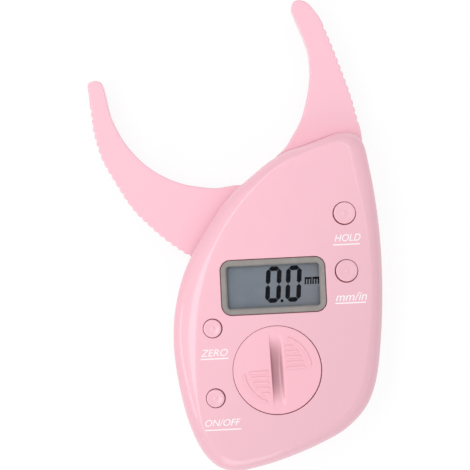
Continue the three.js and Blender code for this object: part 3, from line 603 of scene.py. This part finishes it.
def sampled(line, start, spacing):
    """Points this far apart along a line, counted from a distance along it, each with its heading."""
    found = []
    gone = 0
    target = start % spacing
    for one, two in zip(line, line[1:]):
        length = (two - one).length
        while target <= gone + length:
            found.append((target, one.lerp(two, (target - gone) / length), (two - one).normalized()))
            target += spacing
        gone += length
    return found


def length_of(line):
    return sum((b - a).length for a, b in zip(line, line[1:]))


def toothed(first, second, teeth_on_first, teeth):
    """An arm's outline, anticlockwise from its root up one edge and down the other, with teeth along
    the given part of the outer edge, which is measured from the tip down."""
    line = flowing(first[::-1] + second, False, 16)
    up = (len(first) - 1) * 16
    up_length, down_length = length_of(line[:up + 1]), length_of(line[up + 16:])
    tip_length = length_of(line[up:up + 17])
    if teeth_on_first:
        last, reach, side = up_length * (1 - teeth[0]), up_length, -1
    else:
        last, reach, side = up_length + tip_length + down_length * teeth[0], down_length, 1
    count = math.floor((teeth[1] - teeth[0]) * reach / tooth_pitch)
    outline = [line[0]]
    for distance, point, heading in sampled(line, last, tooth_pitch / 8):
        if min(distance, length_of(line) - distance) < 1.5 * mm:
            continue
        turns = (distance - last) * side / tooth_pitch
        phase = 2 * (turns - round(turns)) if 0 < turns < count else 0
        inwards = Vector((-heading.y, heading.x, 0))
        outline.append(point + inwards * tooth_depth * phase * phase)
    return outline + [line[-1]]


def rounded_over(name, outline, bottom, top):
    """A flat blade whose long edges are rounded over."""
    curve = rounding(arm_edge_radius, 6)
    rings = [lifted(drawn_in(outline, inset), bottom + rise) for rise, inset in curve]
    rings += [lifted(drawn_in(outline, inset), top - rise) for rise, inset in curve[::-1]]
    return wrapped(name, rings)


arm_plastic = finish("arm_plastic", satin, moulded(seen(255, 196, 210), seen(255, 194, 208)))
rear_housing = wrapped("rear_housing", [
    *(body_ring(inset, rise) for rise, inset in rounding(back_edge_radius, 8)),
    lifted(body_edge, parting_height - edge_break), body_ring(edge_break, parting_height),
])
room_top = parting_height + mm
carve(rear_housing, wrapped("rear_room", [
    body_ring(side_wall + floor_top / 2, floor_top), body_ring(side_wall, floor_top * 1.5),
    body_ring(side_wall, room_top),
]))
post_radius = 3.6 * mm
for centre in case_screws:
    carve(rear_housing, rod(post_radius, floor_top / 2, parting_height, centre), "UNION")
fixed_line = toothed(scaled(fixed_outer, fixed_reach), scaled(fixed_inner, fixed_reach), True, (0.2, 0.8))
carve(rear_housing, rounded_over("fixed_jaw", fixed_line, arm_bottom, parting_height), "UNION")
swing = math.radians(54.6)
swing_gap = 0.5 * mm
hub_radius = 17 * mm
way_bottom = arm_bottom - 0.4 * mm
wide = drawn_in(flowing(scaled(jaw_inner[::-1] + jaw_outer, jaw_reach), False, 6), -swing_gap)
for step in range(4):
    turn = Matrix.Rotation(-swing * step / 3, 3, "Z")
    way = [turn @ point for point in wide]
    carve(rear_housing, wrapped("way", [lifted(way, way_bottom), lifted(way, room_top)]))
joint_depth, joint_height = 0.28 * mm, 0.35 * mm
joint = wrapped("joint", [
    body_ring(-joint_depth, parting_height - joint_height), body_ring(-joint_depth, room_top),
])
carve(joint, wrapped("joint_middle", [
    body_ring(0.1 * mm, parting_height - mm), body_ring(0.1 * mm, room_top + mm),
]))
carve(rear_housing, joint)
carve(rear_housing, rod(hub_radius + swing_gap, way_bottom, room_top))
pin_hole, spring_radius, leg_hole = 3.3 * mm, 7.4 * mm, 0.85 * mm
socket_bottom = floor_top - 1.4 * mm
carve(rear_housing, rod(pin_hole, socket_bottom, floor_top + mm))
carve(rear_housing, rod(leg_hole, socket_bottom, floor_top + mm, (spring_radius, 0)))
screw_foot = 6 * mm
head_way, shank_way = 2.4 * mm, 1.4 * mm
for centre in case_screws:
    carve(rear_housing, turned("screw_way", [
        (0, -mm), (head_way + 0.2 * mm, -mm), (head_way + 0.2 * mm, 0), (head_way, 0.2 * mm),
        (head_way, screw_foot), (shank_way, screw_foot), (shank_way, room_top), (0, room_top),
    ], centre))
mended(rear_housing)
smoothed(rear_housing)
dress(rear_housing, arm_plastic, "case", "shell_plastic", "rear_housing")

# The moving jaw is the left arm and its round hub in one moulding. The hub turns on the pivot pin inside
# the case, with a pocket for the return spring round the pin and a recess for the sensor strip.
jaw_top = 10.8 * mm
jaw_line = toothed(scaled(jaw_inner, jaw_reach), scaled(jaw_outer, jaw_reach), False, (0.09, 0.83))
moving_jaw = rounded_over("moving_jaw", jaw_line, arm_bottom, jaw_top)
carve(moving_jaw, rod(hub_radius, arm_bottom, jaw_top, steps=96), "UNION")
head_radius, head_bottom = 5 * mm, 9 * mm
carve(moving_jaw, turned("pin_way", [
    (0, floor_top), (pin_hole, floor_top), (pin_hole, head_bottom), (head_radius, head_bottom),
    (head_radius, jaw_top + mm), (0, jaw_top + mm),
]))
pocket_inner, pocket_outer, pocket_top = 5.2 * mm, 9.7 * mm, 8.7 * mm
carve(moving_jaw, turned("spring_pocket", [
    (pocket_inner, floor_top), (pocket_outer, floor_top), (pocket_outer, pocket_top),
    (pocket_inner, pocket_top),
]))
carve(moving_jaw, rod(leg_hole, 8 * mm, 10.3 * mm, (spring_radius, 0)))
strip_middle, strip_half = math.radians(-50), math.radians(76.5)
strip_inner, strip_outer, strip_bottom = 10.3 * mm, 15.9 * mm, 10 * mm
carve(moving_jaw, bent(
    "strip_recess", strip_inner, strip_outer, strip_bottom, jaw_top + mm,
    strip_middle - strip_half, strip_middle + strip_half,
))
for side in (-1, 1):
    angle = strip_middle + math.radians(50) * side
    reach = (strip_inner + strip_outer) / 2
    place = (reach * math.cos(angle), reach * math.sin(angle))
    carve(moving_jaw, rod(1.1 * mm, 7 * mm, jaw_top, place))
smoothed(moving_jaw)
dress(moving_jaw, arm_plastic, "jaw", "shell_plastic", "moving_jaw")

# The display sits in its pocket behind a warm grey frame, whose opening slopes in towards a clear acrylic
# window. The liquid crystal panel below shows 0.0 and mm in dark segments on a blue-grey ground.
bezel_bottom, bezel_top = 18 * mm, 19.8 * mm
opening_length, opening_width = 32.1 * mm, 14.7 * mm
window_length, window_width = 33.3 * mm, 16 * mm
window_bottom, window_top = 18 * mm, 19 * mm
panel_bottom, panel_top = 15.7 * mm, 17.7 * mm


def speckled(colour, deeper, roughness, size, depth):
    """What varies over a plain moulded or rolled material: cloudy colour and a fine rough grain."""
    def looks(place):
        cloud = grain(place, size * 12, 3)
        speck = grain(place, size)
        return {
            "Base Color": cloud.between(0.3, 0.7).colours(colour, deeper),
            "Roughness": roughness - 0.05 + cloud * 0.1,
            "Normal": relief(speck, depth),
        }
    return looks


grey_plastic = finish(
    "grey_plastic", {"IOR": 1.5},
    speckled(seen(152, 145, 141), seen(144, 138, 133), 0.42, 0.25 * mm, 0.012 * mm),
)
bezel = plate("display_bezel", bezel_length, bezel_width, bezel_corner, bezel_bottom, bezel_top,
              display_centre, 0.4 * mm)
carve(bezel, wrapped("opening", [
    corner_ring(opening_length + inset * 2, opening_width + inset * 2, corner, height, display_centre)
    for inset, height, corner in (
        (0, bezel_bottom - mm, mm), (0, window_top + 0.25 * mm, mm),
        (0.45 * mm, bezel_top - 0.06 * mm, 1.4 * mm), (0.6 * mm, bezel_top, 1.5 * mm),
        (0.65 * mm, bezel_top + mm, 1.5 * mm),
    )
]))
carve(bezel, plate("window_seat", window_length + 0.6 * mm, window_width + 0.6 * mm, 2 * mm,
                   bezel_bottom - mm, window_top, display_centre))
smoothed(bezel)
dress(bezel, grey_plastic, "case", "bezel_plastic", "display_bezel")


def clear_acrylic(place):
    wipe = grain(place, 6 * mm, 4)
    return {
        "Alpha": 0.05 + wipe.between(0.4, 0.8) * 0.03,
        "Roughness": 0.05 + wipe.between(0.45, 0.75) * 0.08,
        "Normal": relief(grain(place, 3 * mm), 0.004 * mm),
    }


acrylic = finish(
    "clear_acrylic", {"Base Color": (0.03, 0.03, 0.035, 1), "IOR": 1.49, "Specular IOR Level": 0.25},
    clear_acrylic,
)
window = plate("display_window", window_length, window_width, 1.9 * mm, window_bottom, window_top,
               display_centre, 0.1 * mm)
smoothed(window)
dress(window, acrylic, "case", "window_plastic", "display_window")


def display_glass(place):
    """Blue-grey glass, a little bluer and deeper towards the left, with faint clouding."""
    cloud = grain(place, 8 * mm, 3)
    tone = place.part("X").between(-17 * mm, 15 * mm) * 0.7 + cloud * 0.3
    return {
        "Base Color": tone.colours(seen(132, 141, 151), seen(137, 139, 147)),
        "Roughness": 0.3 + cloud * 0.1,
        "Normal": relief(grain(place, 0.3 * mm), 0.003 * mm),
    }


panel_glass = finish("display_glass", {"IOR": 1.5, "Specular IOR Level": 0.1}, display_glass)
panel = plate("lcd_panel", panel_length, panel_width, 1.4 * mm, panel_bottom, panel_top, display_centre,
              0.15 * mm)
smoothed(panel)
dress(panel, panel_glass, "case", "display_glass", "lcd_panel")


def segment_ink(place):
    patch = grain(place, 0.8 * mm, 3)
    return {
        "Base Color": patch.between(0.35, 0.7).colours(seen(16, 17, 22), seen(26, 27, 33)),
        "Roughness": 0.35 + patch * 0.1,
        "Normal": relief(patch, 0.002 * mm),
    }


dark_segments = finish("dark_segments", {"IOR": 1.5, "Specular IOR Level": 0.0}, segment_ink)
ink_thickness = 0.02 * mm
digit_lean = math.tan(math.radians(4.9))


def tile(corners, thickness=ink_thickness):
    """A thin flat tile on the panel with these corners, given anticlockwise."""
    return wrapped("tile", [[Vector((x, y, height)) for x, y in corners]
                            for height in (panel_top, panel_top + thickness)])


def segment(one, two, centre):
    """One bar of a digit with pointed ends, leaning with the digit."""
    one, two = Vector(one), Vector(two)
    along = (two - one).normalized()
    across = Vector((-along.y, along.x)) * stroke / 2
    shoulder = along * stroke / 2
    one, two = one + along * segment_gap, two - along * segment_gap
    points = (one, one + shoulder - across, two - shoulder - across,
              two, two - shoulder + across, one + shoulder + across)
    return tile([(centre[0] + point.x + point.y * digit_lean, centre[1] + point.y) for point in points])


def joined(name, parts):
    """Several parts made into one piece."""
    alone(parts[0])
    for part in parts[1:]:
        part.select_set(True)
    bpy.ops.object.join()
    parts[0].name = parts[0].data.name = name
    return parts[0]


stroke, segment_gap = 1.6 * mm, 0.08 * mm
half_width, half_height = (5.4 * mm - stroke) / 2, (12.6 * mm - stroke) / 2
digit_height = display_centre[1] + 0.42 * mm
bars = []
for across in (0.1 * mm, 7.1 * mm):
    centre = (display_centre[0] + across, digit_height)
    for side in (-1, 1):
        x, y = side * half_width, side * half_height
        bars.append(segment((x, -half_height), (x, 0), centre))
        bars.append(segment((x, 0), (x, half_height), centre))
        bars.append(segment((-half_width, y), (half_width, y), centre))
point_half = 0.48 * mm
point_x, point_y = display_centre[0] + 2.79 * mm, display_centre[1] - 5.36 * mm
bars.append(tile([(point_x + across * point_half, point_y + up * point_half)
                  for across, up in ((-1, -1), (1, -1), (1, 1), (-1, 1))]))
unit_left, unit_bottom = display_centre[0] + 10.9 * mm, display_centre[1] - 0.05 * mm
letter_width, letter_height, leg = 2.4 * mm, 2.5 * mm, 0.52 * mm
beam_bottom, unit_top = unit_bottom + letter_height - leg * 1.4, unit_bottom + letter_height
lean = letter_height * digit_lean
for letter in range(2):
    left = unit_left + letter * (letter_width + 0.3 * mm)
    for step in range(3):
        foot = left + step * (letter_width - leg) / 2
        bars.append(tile([(foot, unit_bottom), (foot + leg, unit_bottom),
                          (foot + leg + lean, unit_top), (foot + lean, unit_top)]))
    beam_left = left + (letter_height - leg * 1.4) * digit_lean
    beam_right, beam_top = beam_left + letter_width, unit_top - 0.01 * mm
    bars.append(tile([(beam_left, beam_bottom), (beam_right, beam_bottom),
                      (beam_right, beam_top), (beam_left, beam_top)], ink_thickness * 1.2))
digits = joined("display_digits", bars)
dress(digits, dark_segments, "case")

# Four round buttons of pink plastic stand a little proud in their holes. Each cap has a rounded rim, a
# shallow dish and a small nub in the middle; its flange under the face stops it from falling out.
# The caps' sides below the face take the dark rose as painted shade in the gap round each cap.
cap_plastic = finish("cap_plastic", satin, moulded(pink, deep_and_shaded_pink, (sunk, gap_shade_rose)))
off_centre = dict(zip(buttons, in_mm((0.1, 0.1), (0.1, 0.1), (-0.12, -0.03), (-0.12, -0.05))))
stem_radius, stem_foot = 1.6 * mm, 15.4 * mm
flange_width, flange_bottom, flange_top = 0.9 * mm, 16.9 * mm, 17.3 * mm
rim_round, rim_foot = 0.45 * mm, 19.75 * mm
dish_depth, nub_radius = 0.25 * mm, 0.8 * mm
for name, (centre, radius) in buttons.items():
    centre = [middle + shift for middle, shift in zip(centre, off_centre[name])]
    rim = [(radius - rim_round * (1 - math.cos(angle)), rim_foot + rim_round * math.sin(angle))
           for angle in (0, 0.4, 0.8, 1.2, math.pi / 2)]
    dish = [(radius - rim_round - (radius - nub_radius - rim_round) * step / 8,
             rim_foot + rim_round - dish_depth / 2 * (1 - math.cos(math.pi * step / 8)))
            for step in range(1, 9)]
    nub = [(nub_radius * math.cos(angle), 19.95 * mm + 0.22 * mm * math.sin(angle))
           for angle in (0.25, 0.6, 0.95, 1.3)]
    cap = turned(f"{name}_button", [
        (0, stem_foot), (stem_radius, stem_foot), (stem_radius, flange_bottom),
        (radius + flange_width, flange_bottom), (radius + flange_width, flange_top),
        (radius, flange_top), *rim, *dish, *nub, (0, 20.17 * mm),
    ], centre)
    smoothed(cap)
    dress(cap, cap_plastic, f"{name}_key", "shell_plastic", f"{name}_button")

# The battery cover is a round pink disc that a coin turns: a scooped slot, and a finger pad in each of
# two quarters, with one arc ridge and five short ones. Two lugs on its skirt run in rising grooves.
cover_bottom = 17.8 * mm
skirt_inner, skirt_outer, skirt_bottom = 12.9 * mm, 14.3 * mm, 14.6 * mm
cover_round = 0.3 * mm
cover_rim = [(cover_radius - cover_round * (1 - math.cos(angle)),
              face_height - cover_round * (1 - math.sin(angle))) for angle in (0, 0.5, 1.05, math.pi / 2)]
battery_cover = turned("battery_cover", [
    (0, cover_bottom), (skirt_inner, cover_bottom), (skirt_inner, skirt_bottom),
    (skirt_outer, skirt_bottom), (skirt_outer, cover_bottom), (cover_radius, cover_bottom),
    *cover_rim, (0, face_height),
], steps=128)
slot_half_length = 12.75 * mm
slot_rings = []
for across, depth in ((-2.15, 0.01), (-2.05, 0.15), (-1.97, 0.8), (-1.9, 1.5), (-1.7, 1.75), (-1, 1.8),
                      (0, 1.75), (1, 1.6), (1.5, 1.3), (1.8, 0.8), (2.0, 0.3), (2.2, 0.08), (2.4, 0.01)):
    floor = []
    for step in range(25):
        reach = slot_half_length * (step / 12 - 1)
        fall = (1 - (reach / slot_half_length) ** 2) * depth * mm
        floor.append(Vector((across * mm, reach, face_height - fall)))
    slot_rings.append(floor + [
        Vector((across * mm, slot_half_length, face_height + mm)),
        Vector((across * mm, -slot_half_length, face_height + mm)),
    ])
carve(battery_cover, wrapped("slot", slot_rings))


ridge_width, ridge_height, ridge_sink = 0.95 * mm, 0.42 * mm, 0.03 * mm


def squarish(value):
    return math.copysign(abs(value) ** 0.6, value)


def ridge(path):
    """A low rounded ridge along a path of points on the face."""
    rings = []
    for index, point in enumerate(path):
        along = (path[min(index + 1, len(path) - 1)] - path[max(index - 1, 0)]).normalized()
        across = Vector((-along.y, along.x, 0))
        rings.append([
            point + across * squarish(math.cos(angle)) * ridge_width / 2
            + Vector((0, 0, squarish(math.sin(angle)) * ridge_height))
            for angle in [math.tau * step / 16 for step in range(16)]
        ])
    return wrapped("ridge", rings)


arc_radius, arc_angles = 11.6, [math.radians(4 + 64 * step / 24) for step in range(25)]
row_left, row_foot, row_pitch = 3.2, 0.4, 1.88
for half_turn in (0, math.pi):
    turn = Matrix.Rotation(half_turn, 3, "Z")
    lines = [[(arc_radius * math.cos(angle), arc_radius * math.sin(angle)) for angle in arc_angles]]
    for row, right in enumerate((9.7, 9.2, 8.6, 7.7, 6)):
        lines.append([(row_left + (right - row_left) * step / 4, row_foot + row_pitch * row)
                      for step in range(5)])
    for line in lines:
        path = [turn @ Vector((x * mm, y * mm, face_height - ridge_sink)) for x, y in line]
        carve(battery_cover, ridge(path), "UNION")
for side in (0, math.pi):
    carve(battery_cover, bent(
        "lug", lug_inner, lug_outer, lug_bottom, lug_top, side - lug_half, side + lug_half,
        lug_rise * lug_half * 2, 12,
    ), "UNION")
smoothed(battery_cover)
battery_cover.data.transform(
    Matrix.Translation((battery_centre[0] - 0.08 * mm, battery_centre[1] + 0.06 * mm, 0))
    @ Matrix.Rotation(math.radians(1.4), 4, "Z"),
)


# The coin slot's floor and walls below the face take a greyish mauve: painted shade, deepest where the slot
# is deepest.
def slot_floor_shade(place):
    return 1 - place.part("Z").between(18.2 * mm, 19.85 * mm)


def lid_side_shade(place):
    """The cover's side wall, told from the face by its distance from the centre, which gets painted shade.
    """
    reach = place.vector("MULTIPLY", (1, 1, 0)).vector("DISTANCE", (*battery_centre, 0), 1)
    return reach.between(14.9 * mm, 15.1 * mm) * sunk(place)


# The slot's floor and the cover's side wall take darker colours as painted shade.
lid_plastic = finish("lid_plastic", satin, moulded(
    seen(254, 194, 207), seen(249, 186, 199), (slot_floor_shade, seen(186, 130, 141)), (lid_side_shade, gap_shade_rose),
))
dress(battery_cover, lid_plastic, "battery_lid", "shell_plastic", "battery_cover")


# The names of the buttons are printed on the face as one thin white layer: slanted letters, with a thin
# line under each word.
def print_ink(place):
    wear = grain(place, 0.35 * mm, 3)
    return {
        "Base Color": wear.between(0.35, 0.75).colours(seen(254, 250, 251), seen(251, 236, 240)),
        "Roughness": 0.4 + wear * 0.15,
        "Normal": relief(wear, 0.004 * mm),
    }


white_ink = finish("white_ink", {"IOR": 1.5}, print_ink)
print_bottom, print_top = face_height - 0.01 * mm, face_height + 0.02 * mm


def lettered(name, words, left, bottom, right, top, line_left, line_right, line_height):
    """Words that fill a box on the face, in millimetres, and the line under them, as one thin print."""
    bpy.ops.object.text_add()
    letters = bpy.context.object
    letters.data.body = words
    letters.data.shear = 0.28
    letters.data.offset = 0.004
    letters.data.extrude = 0.01
    bpy.ops.object.convert(target="MESH")
    letters = bpy.context.object
    spans = [(min(c), max(c)) for c in zip(*(vertex.co for vertex in letters.data.vertices))]
    box = ((left * mm, right * mm), (bottom * mm, top * mm), (print_bottom, print_top))
    for vertex in letters.data.vertices:
        vertex.co = [start + (value - low) / (high - low) * (end - start)
                     for value, (low, high), (start, end) in zip(vertex.co, spans, box)]
    line = plate("line", (line_right - line_left) * mm, 0.42 * mm, 0.15 * mm, print_bottom, print_top,
                 ((line_left + line_right) / 2 * mm, line_height * mm))
    return joined(name, [letters, line])


for name, words, box in (
    ("hold_label", "HOLD", (20.96, -6.2, 30.06, -3.75, 20.29, 29.71, -7.3)),
    ("unit_label", "mm/in", (20.36, -26.85, 31.3, -23.95, 20.16, 30.81, -27.6)),
    ("zero_label", "ZERO", (-27.32, -43.86, -17.81, -41.4, -27.42, -17.74, -44.73)),
    ("power_label", "ON/OFF", (-26.98, -68.1, -14.57, -65.75, -27.05, -14.46, -69.37)),
):
    dress(lettered(name, words, *box), white_ink, "case")


# Five zinc plated screws close the case from behind. Each has a low pan head with a cross recess and a
# coarse thread, and bites into a boss of the front cover.
def streaked(colour, deeper, roughness, stretch, depth):
    """What varies over drawn or brushed metal: streaks along the direction that isn't stretched."""
    def looks(place):
        streak = grain(place.vector("MULTIPLY", stretch), 0.3 * mm, 4)
        cloud = grain(place, 4 * mm, 3)
        return {
            "Base Color": (streak * 0.5 + cloud * 0.5).between(0.3, 0.7).colours(colour, deeper),
            "Roughness": roughness - 0.06 + streak * 0.12,
            "Normal": relief(streak, depth),
        }
    return looks


metal = {"Metallic": 1.0}
zinc = finish("zinc_plate", {**metal, "IOR": 2.0}, streaked(
    seen(205, 207, 210), seen(178, 181, 186), 0.3, (1, 1, 0.1), 0.004 * mm,
))
thread_root, thread_crest, thread_pitch = 0.85 * mm, 1.1 * mm, 0.62 * mm
cross_length, cross_width = 2.3 * mm, 0.6 * mm
for index, centre in enumerate(case_screws):
    thread = []
    for turn in range(11):
        foot = screw_foot + 0.7 * mm + turn * thread_pitch
        thread += [(thread_root, foot), (thread_crest, foot + 0.25 * mm), (thread_root, foot + 0.5 * mm)]
    screw = turned(f"case_screw_{index + 1}", [
        *in_mm((0, 4.4), (1.6, 4.4), (1.95, 4.55), (2.1, 4.9), (2.1, 6), (1, 6)), *thread, (0, 13.6 * mm),
    ], centre, 48)
    for length, width in ((cross_length, cross_width), (cross_width, cross_length)):
        carve(screw, plate("cross", length, width, 0.1 * mm, 4 * mm, 5.3 * mm, centre))
    smoothed(screw)
    dress(screw, zinc, "case", "steel", f"case_screw_{index + 1}")


# Inside the case: the pivot's pin, spring and washers, the sensor strip on the hub, the green circuit
# board with its chip, crystal and rubber keys, and the coin cell with its contacts and seal.
def paint(material, *nodes):
    """Gives parts of the frame a finish."""
    for node in nodes:
        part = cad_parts[node]
        part.data.materials.clear()
        part.data.materials.append(material)


def etched_board(place):
    """Green mask over copper tracks, which show as slightly raised, lighter lines."""
    cells = place.add("ShaderNodeTexVoronoi", {"feature": "DISTANCE_TO_EDGE"},
                      {"Vector": place, "Scale": 1 / (2.6 * mm), "Randomness": 0.7}, "Distance")
    track = 1 - cells.between(0.05, 0.1)
    weave = grain(place, 0.5 * mm, 3)
    return {
        "Base Color": (track * 0.7 + weave * 0.3).colours(seen(30, 84, 52), seen(58, 128, 84)),
        "Roughness": 0.34 + weave * 0.15,
        "Normal": relief(track, 0.035 * mm),
    }


def etched_strip(place):
    """Gold-plated bars, side by side round the pivot, on a darker ground."""
    round_share = place.add("ShaderNodeTexGradient", {"gradient_type": "RADIAL"}, {0: place})
    bars = (round_share * 120).maths("PINGPONG", round_share * 120, 1).between(0.42, 0.58)
    wear = grain(place, 0.8 * mm, 3)
    return {
        "Base Color": bars.colours(seen(96, 74, 38), seen(214, 172, 92)),
        "Metallic": bars,
        "Roughness": 0.5 - bars * 0.2 + wear * 0.1,
        "Normal": relief(bars, 0.03 * mm),
    }


gold = finish("gold_plate", metal, streaked(
    seen(214, 175, 98), seen(190, 148, 74), 0.3, (1, 0.1, 1), 0.003 * mm,
))
rubber = finish("grey_rubber", {"IOR": 1.45}, speckled(
    seen(112, 115, 119), seen(96, 99, 103), 0.75, 0.15 * mm, 0.02 * mm,
))
paint(finish("nickel_plate", metal, streaked(
    seen(200, 198, 194), seen(170, 168, 165), 0.26, (0.1, 1, 1), 0.003 * mm,
)), "coin_cell", "crystal_can")
paint(finish("ground_steel", metal, streaked(
    seen(188, 190, 194), seen(150, 152, 157), 0.28, (0.1, 0.1, 1), 0.004 * mm,
)), "pivot_pin", "rotor_screw_1", "rotor_screw_2", *(f"board_screw_{index}" for index in (1, 2, 3, 4)))

wire_radius = 0.53 * mm
coil_bottom, coil_top = 3.05 * mm, 7.85 * mm
coil_turns = 3
coil_length = math.tau * spring_radius * coil_turns
unrolled = flowing([Vector((*spot, 0)) for spot in (
    *in_mm((0, 0.95), (0, 1.5), (0, 2.1), (0.25, 2.7)),
    (mm, coil_bottom), (3 * mm, coil_bottom + 0.1 * mm),
    (coil_length / 2, (coil_bottom + coil_top) / 2),
    (coil_length - 3 * mm, coil_top - 0.1 * mm), (coil_length - mm, coil_top),
    (coil_length - 0.25 * mm, coil_top + 0.35 * mm), (coil_length, coil_top + 0.95 * mm),
    (coil_length, 9.4 * mm), (coil_length, 10.2 * mm),
)], False, 4)
wire = []
for one, two in zip(unrolled, unrolled[1:]):
    for share in [step / 12 for step in range(12)] if (two - one).length > 4 * mm else [0]:
        wire.append(one.lerp(two, share))
wire.append(unrolled[-1])
coils = []
for before, spot, after in zip(wire[:1] + wire, wire, wire[1:] + wire[-1:]):
    angle = spot.x / spring_radius
    outwards = Vector((math.cos(angle), math.sin(angle), 0))
    heading = (after - before).normalized()
    onwards = Vector((-math.sin(angle) * heading.x, math.cos(angle) * heading.x, heading.y))
    sideways = onwards.cross(outwards)
    middle = outwards * spring_radius + Vector((0, 0, spot.y))
    coils.append([middle + (outwards * math.cos(step) + sideways * math.sin(step)) * wire_radius
                  for step in [math.tau * part / 12 for part in range(12)]])
return_spring = wrapped("return_spring", coils)
smoothed(return_spring)
music_wire = finish("music_wire", metal, streaked(
    seen(128, 131, 136), seen(92, 94, 98), 0.34, (0.1, 0.1, 1), 0.006 * mm,
))
return_spring.data.materials.append(music_wire)
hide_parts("return_spring")
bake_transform(return_spring)

for name, (centre, radius) in buttons.items():
    key_dome = turned(f"{name}_dome", [(across, board_top + up) for across, up in in_mm(
        (0, 0), (3, 0), (3, 0.25), (2.85, 0.35), (2.2, 0.85), (1.9, 1.3), (1.8, 1.4), (0, 1.4),
    )], centre, 48)
    smoothed(key_dome)
    dress(key_dome, rubber, "case", "button_rubber", f"{name}_switch")
    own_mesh(key_dome)
paint(finish("natural_acetal", {"IOR": 1.48}, speckled(
    seen(238, 237, 230), seen(226, 224, 214), 0.4, 0.2 * mm, 0.008 * mm,
)), "lower_washer", "upper_washer")
paint(finish("circuit_board", {"IOR": 1.5}, etched_board), "main_board")
paint(finish("black_resin", {"IOR": 1.5, "Coat Weight": 0.3}, speckled(
    seen(28, 29, 31), seen(18, 19, 21), 0.3, 0.6 * mm, 0.02 * mm,
)), "controller_chip")
paint(rubber, "connector_strip_upper", "connector_strip_lower")
paint(finish("etched_gold", {}, etched_strip), "sensor_rotor")
paint(gold, "negative_contact", "positive_contact")
paint(finish("black_nitrile", {"IOR": 1.5}, speckled(
    seen(42, 42, 44), seen(30, 30, 32), 0.6, 0.12 * mm, 0.015 * mm,
)), "battery_seal")
